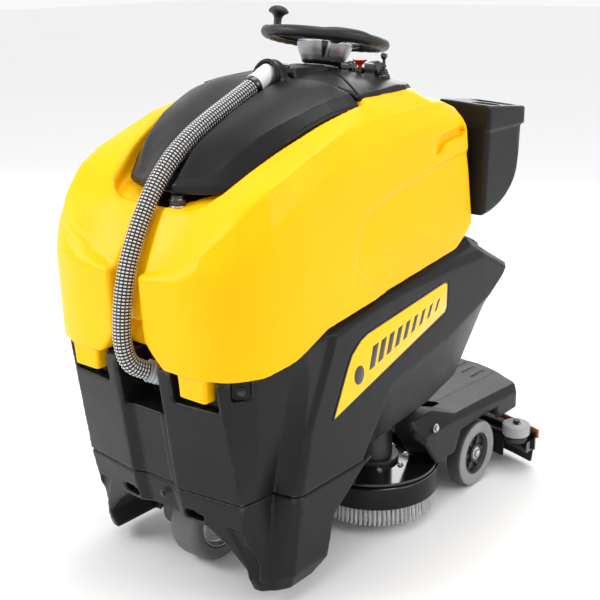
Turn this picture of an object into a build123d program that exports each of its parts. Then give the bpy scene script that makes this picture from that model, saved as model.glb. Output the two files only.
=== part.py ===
from build123d import *
import math
import os

# Stand-on floor scrubber with two 14 inch disc brushes.
# Frame: +X is the machine's left side, the front faces -Y, +Z is up, the floor is z = 0.

os.makedirs("parts", exist_ok=True)

# ---------------------------------------------------------------- driving dimensions (mm)
BODY_HALF_WIDTH = 340.0
SEAM_Z = 284.0              # seam between the solution tank and the front skirt
BRUSH_RADIUS = 178.0
BRUSH_X = 181.0
BRUSH_Y = 52.0
BRUSH_TOP_Z = 141.0
BRUSH_LIFT = 27.0           # the deck is shown raised by this much
REAR_WHEEL_RADIUS = 98.0
REAR_WHEEL_Y = 342.0
REAR_WHEEL_OUTER_X = 344.0
REAR_WHEEL_WIDTH = 50.0
DRIVE_WHEEL_RADIUS = 111.0
DRIVE_WHEEL_Y = -413.0
DRIVE_WHEEL_WIDTH = 96.0
TANK_HINGE_Y = 262.0
TANK_HINGE_Z = 748.0
LID_HINGE_Y = -122.0
LID_HINGE_Z = 1228.0
STEER_TILT = 11.5           # degrees that the steering wheel leans to the operator
STEER_CENTRE = (0.0, 75.0, 1277.0)
STEER_RADIUS = 152.0
RIM_RADIUS = 15.0
SQUEEGEE_HALF_WIDTH = 436.0
SQUEEGEE_CENTRE_Y = 622.0
SQUEEGEE_ARC_RADIUS = 1190.0
HOSE_DIAMETER = 44.0
GAP = 0.5


# ---------------------------------------------------------------- helpers
def outline(plane, points):
    """A closed straight-sided profile on a plane."""
    with BuildSketch(plane) as profile:
        with BuildLine():
            Polyline(*points, close=True)
        make_face()
    return profile.sketch


def disc(plane, radius):
    """A round profile on a plane."""
    with BuildSketch(plane) as profile:
        Circle(radius)
    return profile.sketch


def both_sides(half):
    """A half outline, x from 0 and front to rear, closed with its mirror image."""
    return half + [(-x, y) for x, y in reversed(half) if x > 0]


def along(start, end):
    """A plane at start whose normal points to end."""
    return Plane(origin=start, z_dir=(Vector(*end) - Vector(*start)).normalized())


def distance(start, end):
    return (Vector(*end) - Vector(*start)).length


def rod(start, end, radius, mode=Mode.ADD):
    """A round bar between two points, for use inside a part."""
    extrude(disc(along(start, end), radius), amount=distance(start, end), mode=mode)


def block(low, high, mode=Mode.ADD):
    """A box from its lowest to its highest corner, for use inside a part."""
    with Locations(tuple((a + b) / 2 for a, b in zip(low, high))):
        Box(*(b - a for a, b in zip(low, high)), mode=mode)


def side_prism(points, half_width, mode=Mode.ADD):
    """A (y, z) profile extruded both ways along X."""
    extrude(outline(Plane.YZ, points), amount=half_width, both=True, mode=mode)


def sided(side, low, high):
    """A box's corners on the +X (side 1) or -X (side -1) half of the machine."""
    x_low, x_high = sorted((side * low[0], side * high[0]))
    return (x_low, low[1], low[2]), (x_high, high[1], high[2])


def save(builder, name):
    builder.part.label = name
    export_step(builder.part, f"parts/{name}.step")


def tilted(point, centre=STEER_CENTRE, angle=STEER_TILT):
    """A point of the level steering wheel after it leans to the rear about its centre."""
    a = math.radians(angle)
    x, y, z = (p - c for p, c in zip(point, centre))
    return (
        centre[0] + x,
        centre[1] + y * math.cos(a) + z * math.sin(a),
        centre[2] - y * math.sin(a) + z * math.cos(a),
    )


STEER_PLANE = Plane(origin=STEER_CENTRE, x_dir=(1, 0, 0), z_dir=(
    0, math.sin(math.radians(STEER_TILT)), math.cos(math.radians(STEER_TILT))))

SIDES = {"left": 1, "right": -1}

# ---------------------------------------------------------------- lower body
# Line along which the yellow tank sits on the black tank, front to rear.
PARTING = [(-690, 600), (-549, 600), (-463, 617), (-352, 664), (216, 737)]
DECK_TOP = (288, 753)
DECK_REAR = (497, 637)

body_foot = both_sides([(0, -584), (46, -586), (76, -600), (262, -576), (268, -530),
                        (271, -478), (325, -470), (337, -452), (337, 560), (0, 560)])
body_head = both_sides([(0, -638), (46, -640), (74, -656), (242, -644), (308, -562),
                        (337, -457), (338, -372), (340, -350), (340, 560), (0, 560)])
well_foot = both_sides([(0, -560), (238, -556), (250, -462), (310, -440), (318, 540), (0, 540)])
well_head = both_sides([(0, -612), (232, -616), (322, -452), (326, -440), (328, 540), (0, 540)])
body_side = PARTING + [DECK_TOP, DECK_REAR, (300, 404), (262, 360), (120, 322),
                       (-162, 292), (-168, SEAM_Z), (-690, SEAM_Z)]
well_side = [(-690, 640), (-600, 640), (216, 780), (226, 742), (286, 742), (478, 636), (288, 414),
             (252, 372), (116, 336), (-162, 306), (-690, 306)]

with BuildPart() as solution_tank:
    loft(sections=[outline(Plane.XY.offset(SEAM_Z + GAP), body_foot),
                   outline(Plane.XY.offset(700), body_head),
                   outline(Plane.XY.offset(760), body_head)], ruled=True)
    side_prism(body_side, 400, Mode.INTERSECT)
    with BuildPart(mode=Mode.PRIVATE) as inside:
        loft(sections=[outline(Plane.XY.offset(296), well_foot),
                       outline(Plane.XY.offset(700), well_head),
                       outline(Plane.XY.offset(790), well_head)], ruled=True)
        side_prism(well_side, 400, Mode.INTERSECT)
        block((-92, -700, 440), (92, -505, 800), Mode.SUBTRACT)
    add(inside.part, mode=Mode.SUBTRACT)
    # Pocket in the middle of the front for the hose elbow, and notches for the tank's feet.
    block((-70, -700, 472), (70, -520, 760), Mode.SUBTRACT)
    for side in SIDES.values():
        block(*sided(side, (108, -700, 522), (238, -590, 760)), Mode.SUBTRACT)
    # Open top over the batteries, and room under the tank's hinge.
    block((-250, -440, 560), (250, 205, 800), Mode.SUBTRACT)
    block((-215, 222, 724), (215, 300, 800), Mode.SUBTRACT)
    # Bolt pockets in the front corners.
    for side in SIDES.values():
        with Locations(Plane(origin=(side * 287, -598, 570), z_dir=(side * 0.62, -0.78, 0))):
            Cylinder(18, 30, mode=Mode.SUBTRACT)
    # Hole where the hose elbow leaves the pocket.
    rod((42.6, -591.4, 565.4), (117, -548, 516.8), 28, Mode.SUBTRACT)
save(solution_tank, "solution_tank")

# Lower front cover with its two feet and the arch over the drive wheel.
skirt_head = both_sides([(0, -584), (46, -586), (76, -600), (262, -576), (268, -530),
                         (271, -478), (325, -470), (337, -452), (337, -150), (0, -150)])
skirt_foot = both_sides([(0, -530), (46, -532), (76, -541), (238, -536), (269, -532),
                         (284, -516), (297, -505), (319, -470), (319, -150), (0, -150)])
skirt_hole_head = both_sides([(0, -572), (250, -564), (254, -470), (322, -450), (326, 0), (0, 0)])
skirt_hole_foot = both_sides([(0, -518), (246, -518), (262, -500), (300, -455), (306, 0), (0, 0)])
skirt_side = [(-640, SEAM_Z), (-166, SEAM_Z), (-206, 268), (-318, 180), (-336, 70),
              (-352, 55), (-384, 37), (-640, 37)]
skirt_arch = [(-238, 0), (-238, 100), (-190, 152), (-140, 190), (-38, 196),
              (38, 196), (140, 190), (190, 152), (238, 100), (238, 0)]

with BuildPart() as front_skirt:
    loft(sections=[outline(Plane.XY.offset(37), skirt_foot),
                   outline(Plane.XY.offset(SEAM_Z - GAP), skirt_head)], ruled=True)
    side_prism(skirt_side, 400, Mode.INTERSECT)
    loft(sections=[outline(Plane.XY.offset(30), skirt_hole_foot),
                   outline(Plane.XY.offset(SEAM_Z + 2), skirt_hole_head)],
         ruled=True, mode=Mode.SUBTRACT)
    extrude(outline(Plane.XZ.offset(500), skirt_arch), amount=200, mode=Mode.SUBTRACT)
    # Tie-down slots.
    for side in SIDES.values():
        with BuildSketch(Plane.XZ.offset(500)) as slot:
            with Locations((side * 108, 209)):
                SlotOverall(56, 25)
        extrude(slot.sketch, amount=200, mode=Mode.SUBTRACT)
    # Closed heel of each foot, so that it is a box and not a single sheet.
    for side in SIDES.values():
        block(*sided(side, (240, -500, 37), (262, -384, 62)))
save(front_skirt, "front_skirt")

# Inlaid side labels: a long band with a point at the lower front.
LABEL = [(-332, 442), (-280, 549), (-262, 580), (-228, 606), (-200, 616), (140, 662),
         (152, 656), (150, 596), (144, 584)]
with BuildPart() as side_labels:
    for side in SIDES.values():
        x_face = BODY_HALF_WIDTH + 0.2
        extrude(outline(Plane.YZ.offset(side * x_face), LABEL), amount=side * 1.6)
save(side_labels, "side_labels")

# ---------------------------------------------------------------- chassis
RAIL_X = 62
with BuildPart() as chassis_frame:
    for side in SIDES.values():
        block(*sided(side, (RAIL_X - 18, -300, 244), (RAIL_X + 18, 250, 283)))
        block(*sided(side, (RAIL_X - 18, 215, 172), (RAIL_X + 18, 250, 344)))
        block(*sided(side, (RAIL_X - 18, 215, 172), (RAIL_X + 18, 600, 212)))
        # Wheel bracket and stub axle.
        block(*sided(side, (222, 318, 74), (281, 366, 212)))
        rod((side * 281, REAR_WHEEL_Y, REAR_WHEEL_RADIUS), (side * 338, REAR_WHEEL_Y,
            REAR_WHEEL_RADIUS), 10)
    block((-120, -520, 272), (120, -290, 283))
    block((-281, 322, 180), (281, 362, 212))
    block((-200, -40, 262), (200, 0, 283))
    block((-200, 570, 184), (200, 600, 212))
save(chassis_frame, "chassis_frame")

for name, side in SIDES.items():
    wheel_plane = Plane(origin=(side * (REAR_WHEEL_OUTER_X - REAR_WHEEL_WIDTH), REAR_WHEEL_Y,
                                REAR_WHEEL_RADIUS), z_dir=(side, 0, 0))
    with BuildPart() as rear_tyre:
        with BuildSketch(wheel_plane):
            Circle(REAR_WHEEL_RADIUS)
            Circle(62, mode=Mode.SUBTRACT)
        extrude(amount=REAR_WHEEL_WIDTH)
        rims = rear_tyre.edges().filter_by(GeomType.CIRCLE).sort_by(SortBy.RADIUS)[-2:]
        fillet(rims, 9)
    save(rear_tyre, f"rear_tyre_{name}")
    with BuildPart() as rear_hub:
        with BuildSketch(wheel_plane):
            Circle(61.8)
            Circle(10.1, mode=Mode.SUBTRACT)
        extrude(amount=REAR_WHEEL_WIDTH - 8)
        with BuildSketch(wheel_plane.offset(REAR_WHEEL_WIDTH - 20)):
            Circle(52)
            Circle(22, mode=Mode.SUBTRACT)
        extrude(amount=20, mode=Mode.SUBTRACT)
    save(rear_hub, f"rear_hub_{name}")

# ---------------------------------------------------------------- drive wheel
half_drive = DRIVE_WHEEL_WIDTH / 2
drive_plane = Plane(origin=(-half_drive, DRIVE_WHEEL_Y, DRIVE_WHEEL_RADIUS), z_dir=(1, 0, 0))
with BuildPart() as drive_tyre:
    with BuildSketch(drive_plane):
        Circle(DRIVE_WHEEL_RADIUS)
        Circle(74, mode=Mode.SUBTRACT)
    extrude(amount=DRIVE_WHEEL_WIDTH)
    rims = drive_tyre.edges().filter_by(GeomType.CIRCLE).sort_by(SortBy.RADIUS)[-2:]
    fillet(rims, 8)
save(drive_tyre, "drive_tyre")

with BuildPart() as drive_hub:
    with BuildSketch(drive_plane):
        Circle(73.8)
        Circle(20.1, mode=Mode.SUBTRACT)
    extrude(amount=DRIVE_WHEEL_WIDTH - 6)
    with BuildSketch(drive_plane.offset(DRIVE_WHEEL_WIDTH - 22)):
        Circle(66)
        Circle(34, mode=Mode.SUBTRACT)
    extrude(amount=20, mode=Mode.SUBTRACT)
save(drive_hub, "drive_hub")

with BuildPart() as drive_motor:
    rod((-118, DRIVE_WHEEL_Y, DRIVE_WHEEL_RADIUS), (-58.5, DRIVE_WHEEL_Y, DRIVE_WHEEL_RADIUS), 58)
    rod((-59, DRIVE_WHEEL_Y, DRIVE_WHEEL_RADIUS), (half_drive + 8, DRIVE_WHEEL_Y,
        DRIVE_WHEEL_RADIUS), 20)
save(drive_motor, "drive_motor")

with BuildPart() as drive_bracket:
    block((-58, DRIVE_WHEEL_Y - 45, 118), (-50.5, DRIVE_WHEEL_Y + 45, 226))
    rod((-58, DRIVE_WHEEL_Y, DRIVE_WHEEL_RADIUS), (-50.5, DRIVE_WHEEL_Y, DRIVE_WHEEL_RADIUS), 45)
    with Locations((0, DRIVE_WHEEL_Y, 233)):
        Cylinder(75, 14)
    rod((-80, DRIVE_WHEEL_Y, DRIVE_WHEEL_RADIUS), (0, DRIVE_WHEEL_Y, DRIVE_WHEEL_RADIUS), 20.1,
        Mode.SUBTRACT)
save(drive_bracket, "drive_bracket")

with BuildPart() as steering_bearing:
    with BuildSketch(Plane.XY.offset(241)):
        with Locations((0, DRIVE_WHEEL_Y)):
            Circle(82)
            Circle(40, mode=Mode.SUBTRACT)
    extrude(amount=30.5)
save(steering_bearing, "steering_bearing")

# ---------------------------------------------------------------- inside the lower body
with BuildPart() as batteries:
    for column in (-1, 1):
        for row in range(2):
            x0 = column * 96
            y0 = -208 + row * 270
            z0 = 320 + row * 44
            block((x0 - 90, y0 - 130, z0), (x0 + 90, y0 + 130, z0 + 250))
            # Two terminals and the link across them to the next battery.
            for post in (-1, 1):
                with Locations((x0 + post * 55, y0 - 90, z0 + 258)):
                    Cylinder(9, 16)
        block((column * 41 - 6, -302, 578), (column * 41 + 6, -294, 586))
    block((-47, -302, 586), (47, -294, 592))
save(batteries, "batteries")

with BuildPart() as vacuum_motor:
    with Locations((190, -490, 420)):
        Cylinder(58, 150)
    with Locations((190, -490, 500)):
        Cylinder(40, 20)
save(vacuum_motor, "vacuum_motor")

# Pump in the front of the tub, and the filter bowl under its left rear.
with BuildPart() as pump_and_filter:
    block((-230, -520, 306), (-150, -455, 360))
    rod((-190, -488, 360), (-190, -488, 430), 26)
    rod((212, 182, 332), (212, 182, 300), 14)
    rod((212, 182, 300), (212, 182, 262), 21)
save(pump_and_filter, "pump_and_filter")

with BuildPart() as control_unit:
    block((-240, 222, 400), (240, 262, 520))
    for fin in range(12):
        block((-216 + fin * 36, 262, 410), (-212 + fin * 36, 276, 510))
save(control_unit, "control_unit")

with BuildPart() as frame_bolts:
    for side in SIDES.values():
        corner = Vector(side * 287, -598, 570)
        inward = Vector(-side * 0.62, 0.78, 0)
        start = corner + inward * 6
        rod(tuple(start), tuple(start + inward * 8.5), 9)
        rod((side * 345.5, 108, 262), (side * 352, 108, 262), 9)
        with BuildSketch(Plane.YZ.offset(side * 338.2)) as nut:
            with Locations((REAR_WHEEL_Y, REAR_WHEEL_RADIUS)):
                RegularPolygon(radius=14, side_count=6)
        extrude(nut.sketch, amount=side * 8)
    rod((12, -592, 246), (12, -585.5, 246), 9)
save(frame_bolts, "frame_bolts")

with BuildPart() as fill_cap:
    cap_plane = Plane(origin=(205, 402, 690.4), z_dir=(0, 0.485, 0.875))
    extrude(disc(cap_plane, 68), amount=22)
    extrude(disc(cap_plane.offset(22), 58), amount=6)
save(fill_cap, "fill_cap")

# ---------------------------------------------------------------- hose elbow
ELBOW = [(25.3, -624.5, 579.8), (42.6, -591.4, 565.4), (100, -558, 528)]
with BuildPart() as hose_elbow:
    with BuildLine() as elbow_path:
        FilletPolyline(*ELBOW, radius=45)
    with BuildSketch(Plane(origin=ELBOW[0], z_dir=elbow_path.line % 0)):
        Circle(27)
        Circle(21, mode=Mode.SUBTRACT)
    sweep(path=elbow_path.line)
save(hose_elbow, "hose_elbow")

# ---------------------------------------------------------------- operator platform
PLATFORM = both_sides([(0, 262), (252, 262), (252, 40), (345, 40), (345, 250), (345, 560),
                       (318, 588), (288, 603), (229, 640), (156, 664), (80, 670), (0, 670)])
with BuildPart() as rear_platform:
    extrude(outline(Plane.XY.offset(168), PLATFORM), amount=110)
    # Side profile: low tread, raised fenders in front of the wheels.
    side_prism([(30, 292), (146, 292), (220, 262), (560, 242), (680, 238), (680, 190), (560, 168),
                (452, 168), (438, 206), (342, 208), (246, 206), (215, 150), (120, 150),
                (30, 262)], 400, Mode.INTERSECT)
    # Hollow underside.
    block((-252, 240, 140), (252, 600, 226), Mode.SUBTRACT)
    block((-252, 590, 140), (252, 655, 214), Mode.SUBTRACT)
    for side in SIDES.values():
        block(*sided(side, (240, 250, 140), (335, 590, 226)), Mode.SUBTRACT)
        block(*sided(side, (262, 90, 140), (335, 300, 240)), Mode.SUBTRACT)
        with Locations((side * 300, REAR_WHEEL_Y, REAR_WHEEL_RADIUS)):
            Cylinder(REAR_WHEEL_RADIUS + 12, 120, rotation=(0, 90, 0), mode=Mode.SUBTRACT)
        # Three short grooves in the tread, each side.
        for groove in range(3):
            x0 = side * (105 + groove * 58)
            y0 = 590 - groove * 14
            block((x0 - 4, y0 - 42, 236), (x0 + 4, y0 + 42, 260), Mode.SUBTRACT)
save(rear_platform, "rear_platform")

with BuildPart() as presence_pedal:
    block((-95, 372, 257), (95, 500, 264))
    rod((-85, 378, 260.5), (85, 378, 260.5), 6)
save(presence_pedal, "presence_pedal")

# ---------------------------------------------------------------- brush deck
DECK_Z = BRUSH_TOP_Z + 3
with BuildPart() as brush_deck:
    for side in SIDES.values():
        with Locations((side * BRUSH_X, BRUSH_Y, DECK_Z + 4)):
            Cylinder(BRUSH_RADIUS - 6, 8)
        with Locations((side * BRUSH_X, BRUSH_Y, DECK_Z + 4)):
            Cylinder(22, 8, mode=Mode.SUBTRACT)
    block((-120, -20, DECK_Z), (120, 124, DECK_Z + 8))
    for side in SIDES.values():
        block(*sided(side, (20, BRUSH_Y - 40, DECK_Z + 8), (28, BRUSH_Y + 40, DECK_Z + 60)))
save(brush_deck, "brush_deck")

with BuildPart() as deck_bolts:
    for side in SIDES.values():
        with Locations((side * BRUSH_X, BRUSH_Y, DECK_Z + 8)):
            with PolarLocations(88, 8):
                Cylinder(6, 9, align=(Align.CENTER, Align.CENTER, Align.MIN))
save(deck_bolts, "deck_bolts")

for name, side in SIDES.items():
    with BuildPart() as brush_motor:
        with Locations((side * BRUSH_X, BRUSH_Y, DECK_Z + 8)):
            Cylinder(50, 92, align=(Align.CENTER, Align.CENTER, Align.MIN))
            Cylinder(68, 12, align=(Align.CENTER, Align.CENTER, Align.MIN))
        rod((side * BRUSH_X, BRUSH_Y, BRUSH_TOP_Z - 12), (side * BRUSH_X, BRUSH_Y, DECK_Z + 8), 12)
    save(brush_motor, f"brush_motor_{name}")
    # Brush: a shallow cup full of bristles.
    with BuildPart() as brush:
        with Locations((side * BRUSH_X, BRUSH_Y, BRUSH_TOP_Z)):
            Cylinder(BRUSH_RADIUS, 64, align=(Align.CENTER, Align.CENTER, Align.MAX))
            Cylinder(BRUSH_RADIUS - 8, BRUSH_TOP_Z - 29,
                     align=(Align.CENTER, Align.CENTER, Align.MAX))
        with Locations((side * BRUSH_X, BRUSH_Y, 20)):
            Cylinder(92, 100, align=(Align.CENTER, Align.CENTER, Align.MIN), mode=Mode.SUBTRACT)
        with Locations((side * BRUSH_X, BRUSH_Y, BRUSH_TOP_Z)):
            Cylinder(12.1, 80, mode=Mode.SUBTRACT)
    save(brush, f"brush_{name}")

with BuildPart() as deck_actuator:
    rod((0, BRUSH_Y, 218), (0, BRUSH_Y, 243.5), 20)
    block((-40, BRUSH_Y - 20, 238), (40, BRUSH_Y + 20, 243.5))
save(deck_actuator, "deck_actuator")

with BuildPart() as actuator_rod:
    rod((0, BRUSH_Y, DECK_Z + 8), (0, BRUSH_Y, 217), 9)
save(actuator_rod, "actuator_rod")

# ---------------------------------------------------------------- squeegee
ARC_CENTRE_Y = SQUEEGEE_CENTRE_Y - SQUEEGEE_ARC_RADIUS


def squeegee_strip(y_front, y_rear, z_low, z_high, half_width):
    """A strip bent to the squeegee's arc, offset from its centre line, for use in a part."""
    with BuildSketch(Plane.XY.offset(z_low)) as strip:
        with Locations((0, ARC_CENTRE_Y)):
            Circle(SQUEEGEE_ARC_RADIUS + y_rear)
            Circle(SQUEEGEE_ARC_RADIUS + y_front, mode=Mode.SUBTRACT)
        with Locations((0, SQUEEGEE_CENTRE_Y)):
            Rectangle(2 * half_width, 400, mode=Mode.INTERSECT)
    extrude(strip.sketch, amount=z_high - z_low)


with BuildPart() as squeegee_holder:
    squeegee_strip(-46, -12, 62, 96, SQUEEGEE_HALF_WIDTH - 16)
    squeegee_strip(-12, -5, 62, 118, SQUEEGEE_HALF_WIDTH - 8)
save(squeegee_holder, "squeegee_holder")

with BuildPart() as squeegee_blades:
    squeegee_strip(-4.8, 0, 14, 128, SQUEEGEE_HALF_WIDTH)
    squeegee_strip(-51, -46.2, 17, 84, SQUEEGEE_HALF_WIDTH - 30)
save(squeegee_blades, "squeegee_blades")

with BuildPart() as squeegee_nozzle:
    rod((0, 582, 96.2), (0, 582, 150), 26)
    rod((0, 582, 96), (0, 582, 153), 20, Mode.SUBTRACT)
save(squeegee_nozzle, "squeegee_nozzle")

SQUEEGEE_PIVOT = (0.0, 470.0, 150.0)
with BuildPart() as squeegee_arm:
    for side in SIDES.values():
        block(*sided(side, (64, 462, 142), (76, 590, 158)))
        rod((side * 64, SQUEEGEE_PIVOT[1], 150), (side * 76, SQUEEGEE_PIVOT[1], 150), 16)
        rod((side * 76, SQUEEGEE_PIVOT[1], 150), (side * 96, SQUEEGEE_PIVOT[1], 150), 8)
    block((-150, 566, 96.2), (-64, 600, 158))
    block((64, 566, 96.2), (150, 600, 158))
save(squeegee_arm, "squeegee_arm")

with BuildPart() as squeegee_fasteners:
    for side in SIDES.values():
        rod((side * 107, 583, 158.2), (side * 107, 583, 178), 17)
    squeegee_strip(0.2, 4, 84, 104, SQUEEGEE_HALF_WIDTH - 60)
save(squeegee_fasteners, "squeegee_fasteners")

with BuildPart() as squeegee_mount:
    for side in SIDES.values():
        block(*sided(side, (84, 448, 128), (104, 492, 225.5)))
        rod((side * 70, SQUEEGEE_PIVOT[1], 150), (side * 110, SQUEEGEE_PIVOT[1], 150), 8.05,
            Mode.SUBTRACT)
save(squeegee_mount, "squeegee_mount")

ROLLER_X = 381
ROLLER_Y = 499
with BuildPart() as roller_brackets:
    for side in SIDES.values():
        with Locations((side * ROLLER_X, ROLLER_Y, 0)):
            with Locations((0, 0, 104)):
                Cylinder(34, 14)
            with Locations((0, 0, 132)):
                Cylinder(6, 50)
            with Locations((0, 0, 156)):
                Cylinder(10, 8)
        block(*sided(side, (ROLLER_X - 20, ROLLER_Y, 97), (ROLLER_X + 10, 534, 111)))
save(roller_brackets, "roller_brackets")

for name, side in SIDES.items():
    with BuildPart() as side_roller:
        with Locations((side * ROLLER_X, ROLLER_Y, 132)):
            Cylinder(41, 36)
            Cylinder(6.2, 50, mode=Mode.SUBTRACT)
        fillet(side_roller.edges().filter_by(GeomType.CIRCLE).sort_by(SortBy.RADIUS)[-2:], 4)
    save(side_roller, f"side_roller_{name}")

# ---------------------------------------------------------------- recovery tank
LID_PLAN = [(0, -535), (44, -535), (164, -477), (184, -430), (222, -320), (250, -200), (262, -142),
            (262, -126), (0, -126)]
LID_SEAT = [(0, -540), (46, -540), (167, -481), (188, -430), (226, -319), (254, -199), (266, -142),
            (266, -121), (0, -121)]
LID_UNDERSIDE = [(-540, 985), (-500, 1003), (-452, 1049), (-345, 1103), (-245, 1131), (-190, 1167),
                 (-121, 1167)]
TANK_SECTIONS = {
    603: [(0, -650), (242, -642), (306, -560), (336, -457), (340, -372), (340, 300), (0, 300)],
    810: [(0, -670), (246, -656), (316, -572), (338, -450), (340, -360), (338, 300), (0, 300)],
    940: [(0, -618), (200, -612), (292, -528), (334, -440), (337, -340), (334, 300), (0, 300)],
    1060: [(0, -500), (170, -505), (250, -440), (302, -330), (330, -120), (324, 300), (0, 300)],
    1166: [(0, -190), (150, -200), (225, -190), (258, -150), (270, -60), (286, 300), (0, 300)],
}
TANK_INNER = {
    640: [(0, -600), (232, -600), (296, -540), (325, -445), (329, -360), (329, 270), (0, 270)],
    810: [(0, -600), (236, -600), (304, -560), (327, -440), (329, -355), (327, 270), (0, 270)],
    940: [(0, -560), (190, -560), (280, -516), (323, -432), (326, -334), (323, 260), (0, 260)],
    1060: [(0, -470), (160, -475), (240, -428), (291, -322), (319, -120), (313, 240), (0, 240)],
    1158: [(0, -190), (150, -190), (214, -180), (247, -145), (259, -60), (275, 230), (0, 230)],
}
TANK_REAR = [(216, 741), (284, 792), (240, 1084), (222, 1108), (160, 1134), (118, 1138), (106, 1146),
             (96, 1166)]
tank_side = [(y, z + 4) for y, z in PARTING[:-1]] + TANK_REAR + [(-690, 1166)]
tank_inner_side = [(-690, 640), (-352, 690), (200, 762), (270, 800), (228, 1080), (150, 1122),
                   (90, 1156), (-690, 1156)]

with BuildPart() as recovery_tank:
    loft(sections=[outline(Plane.XY.offset(z), both_sides(half))
                   for z, half in TANK_SECTIONS.items()], ruled=True)
    side_prism(tank_side, 400, Mode.INTERSECT)
    with BuildPart(mode=Mode.PRIVATE) as tank_inside:
        loft(sections=[outline(Plane.XY.offset(z), both_sides(half))
                       for z, half in TANK_INNER.items()], ruled=True)
        side_prism(tank_inner_side, 400, Mode.INTERSECT)
    add(tank_inside.part, mode=Mode.SUBTRACT)
    # Two feet that drop into the black tank's notches.
    for side in SIDES.values():
        x_low, x_high = sorted((side * 133, side * 226))
        extrude(outline(Plane.YZ.offset(x_low), [(-656, 640), (-641, 545), (-606, 545), (-600, 640)]),
                amount=x_high - x_low)
    # Channel down the front for the hose.
    side_prism([(-700, 590), (-640, 590), (-638, 740), (-612, 828), (-574, 911), (-518, 985),
                (-450, 1036), (-450, 1100), (-700, 1100)], 35, Mode.SUBTRACT)
    block((-62, -700, 590), (62, -545, 624), Mode.SUBTRACT)
    # Opening under the lid, and the seat that the lid lies in.
    extrude(outline(Plane.XY.offset(925), both_sides([(0, -536), (48, -536), (70, -500),
            (140, -440), (180, -330), (196, -140), (0, -140)])), amount=300, mode=Mode.SUBTRACT)
    with BuildPart(mode=Mode.PRIVATE) as lid_seat:
        extrude(outline(Plane.XY.offset(900), both_sides(LID_SEAT)), amount=400)
        side_prism(LID_UNDERSIDE + [(-121, 1300), (-560, 1300), (-560, 980)], 400, Mode.INTERSECT)
    add(lid_seat.part, mode=Mode.SUBTRACT)
    # Finger recesses at the top rear of each side.
    for side in SIDES.values():
        block(*sided(side, (320, 90, 1030), (345, 220, 1052)), Mode.SUBTRACT)
save(recovery_tank, "recovery_tank")

# ---------------------------------------------------------------- lid
CHANNEL_FLOOR = [(-540, 962), (-478, 1027), (-385, 1081), (-290, 1120), (-206, 1156), (-150, 1183)]
with BuildPart() as lid:
    extrude(outline(Plane.XY.offset(960), both_sides(LID_PLAN)), amount=320)
    side_prism([(-535, 992), (-533, 1016), (-470, 1066), (-380, 1118), (-290, 1158), (-200, 1186),
                (-126, 1202), (-126, 1168.5), (-190, 1168.5), (-245, 1132), (-345, 1104),
                (-452, 1050), (-500, 1004)], 400, Mode.INTERSECT)
    # Dome that carries the hose port.
    side_prism([(-178, 1180), (-176, 1236), (-150, 1240), (-126, 1236), (-126, 1180)], 58)
    # Trough for the hose: its floor, then the channel itself.
    side_prism([(y, z - 7) for y, z in CHANNEL_FLOOR[1:]] + [(-150, 1190), (-478, 1040)], 44)
    side_prism(CHANNEL_FLOOR + [(-150, 1216), (-182, 1300), (-600, 1300), (-600, 976)], 38,
               Mode.SUBTRACT)
    rod((0, -230, 1174), (0, -142, 1218), 30, Mode.SUBTRACT)
save(lid, "lid")

# Hooded ring round the hose port, on the front of the dome.
with BuildPart() as hose_port_ring:
    ring_plane = Plane(origin=(0, -178.2, 1200), z_dir=(0, -1, 0))
    extrude(disc(ring_plane, 42), amount=14)
    rod((0, -230, 1174), (0, -142, 1218), 30, Mode.SUBTRACT)
    block((-60, -260, 1100), (60, -140, 1194), Mode.SUBTRACT)
save(hose_port_ring, "hose_port_ring")

# ---------------------------------------------------------------- recovery hose
HOSE_ROUTE = [(0, -206, 1186), (0, -290, 1151), (0, -385, 1113), (0, -478, 1063), (0, -552, 993),
              (0, -606, 911), (0, -646, 828), (0, -668, 740), (1, -676, 660), (5, -667, 612),
              (13, -648, 590), (25, -625, 580)]
vectors = [Vector(*p) for p in HOSE_ROUTE]
runs = [(b - a).length for a, b in zip(vectors, vectors[1:])]
turns = [(b - a).get_angle(c - b) for a, b, c in zip(vectors, vectors[1:], vectors[2:])]
radii = [0.45 * min(a, b) / math.tan(math.radians(t / 2)) for a, b, t in zip(runs, runs[1:], turns)]
print("hose arc radii", [round(r) for r in radii])
with BuildPart() as recovery_hose:
    with BuildLine() as hose_path:
        FilletPolyline(*HOSE_ROUTE, radius=radii)
    with BuildSketch(Plane(origin=HOSE_ROUTE[0], z_dir=hose_path.line % 0)):
        Circle(HOSE_DIAMETER / 2)
    sweep(path=hose_path.line)
section = math.pi * (HOSE_DIAMETER / 2) ** 2
hose_length = sum(edge.length for edge in hose_path.edges())
print("hose length", round(hose_length),
      "volume ratio", round(recovery_hose.part.volume / (section * hose_length), 4))
save(recovery_hose, "recovery_hose")

with BuildPart() as hose_cuff:
    rod((0, -205.6, 1186.2), (0, -149, 1209.8), 25.8)
save(hose_cuff, "hose_cuff")

with BuildPart() as float_filter:
    rod((0, -300, 900), (0, -300, 1060), 46)
    rod((0, -300, 905), (0, -300, 1065), 41, Mode.SUBTRACT)
    rod((0, -300, 1060), (0, -300, 1070), 56)
save(float_filter, "float_filter")

# ---------------------------------------------------------------- console
CONSOLE_TOP = [(-122, 1190), (-60, 1200), (30, 1206), (88, 1200), (118, 1186)]
CONSOLE_PLAN = [(0, -122), (262, -122), (266, -50), (261, 60), (244, 118), (0, 118)]
with BuildPart() as console:
    extrude(outline(Plane.XY.offset(1167), both_sides(CONSOLE_PLAN)), amount=60)
    side_prism(CONSOLE_TOP + [(118, 1167), (-122, 1167)], 400, Mode.INTERSECT)
save(console, "console")

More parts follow.
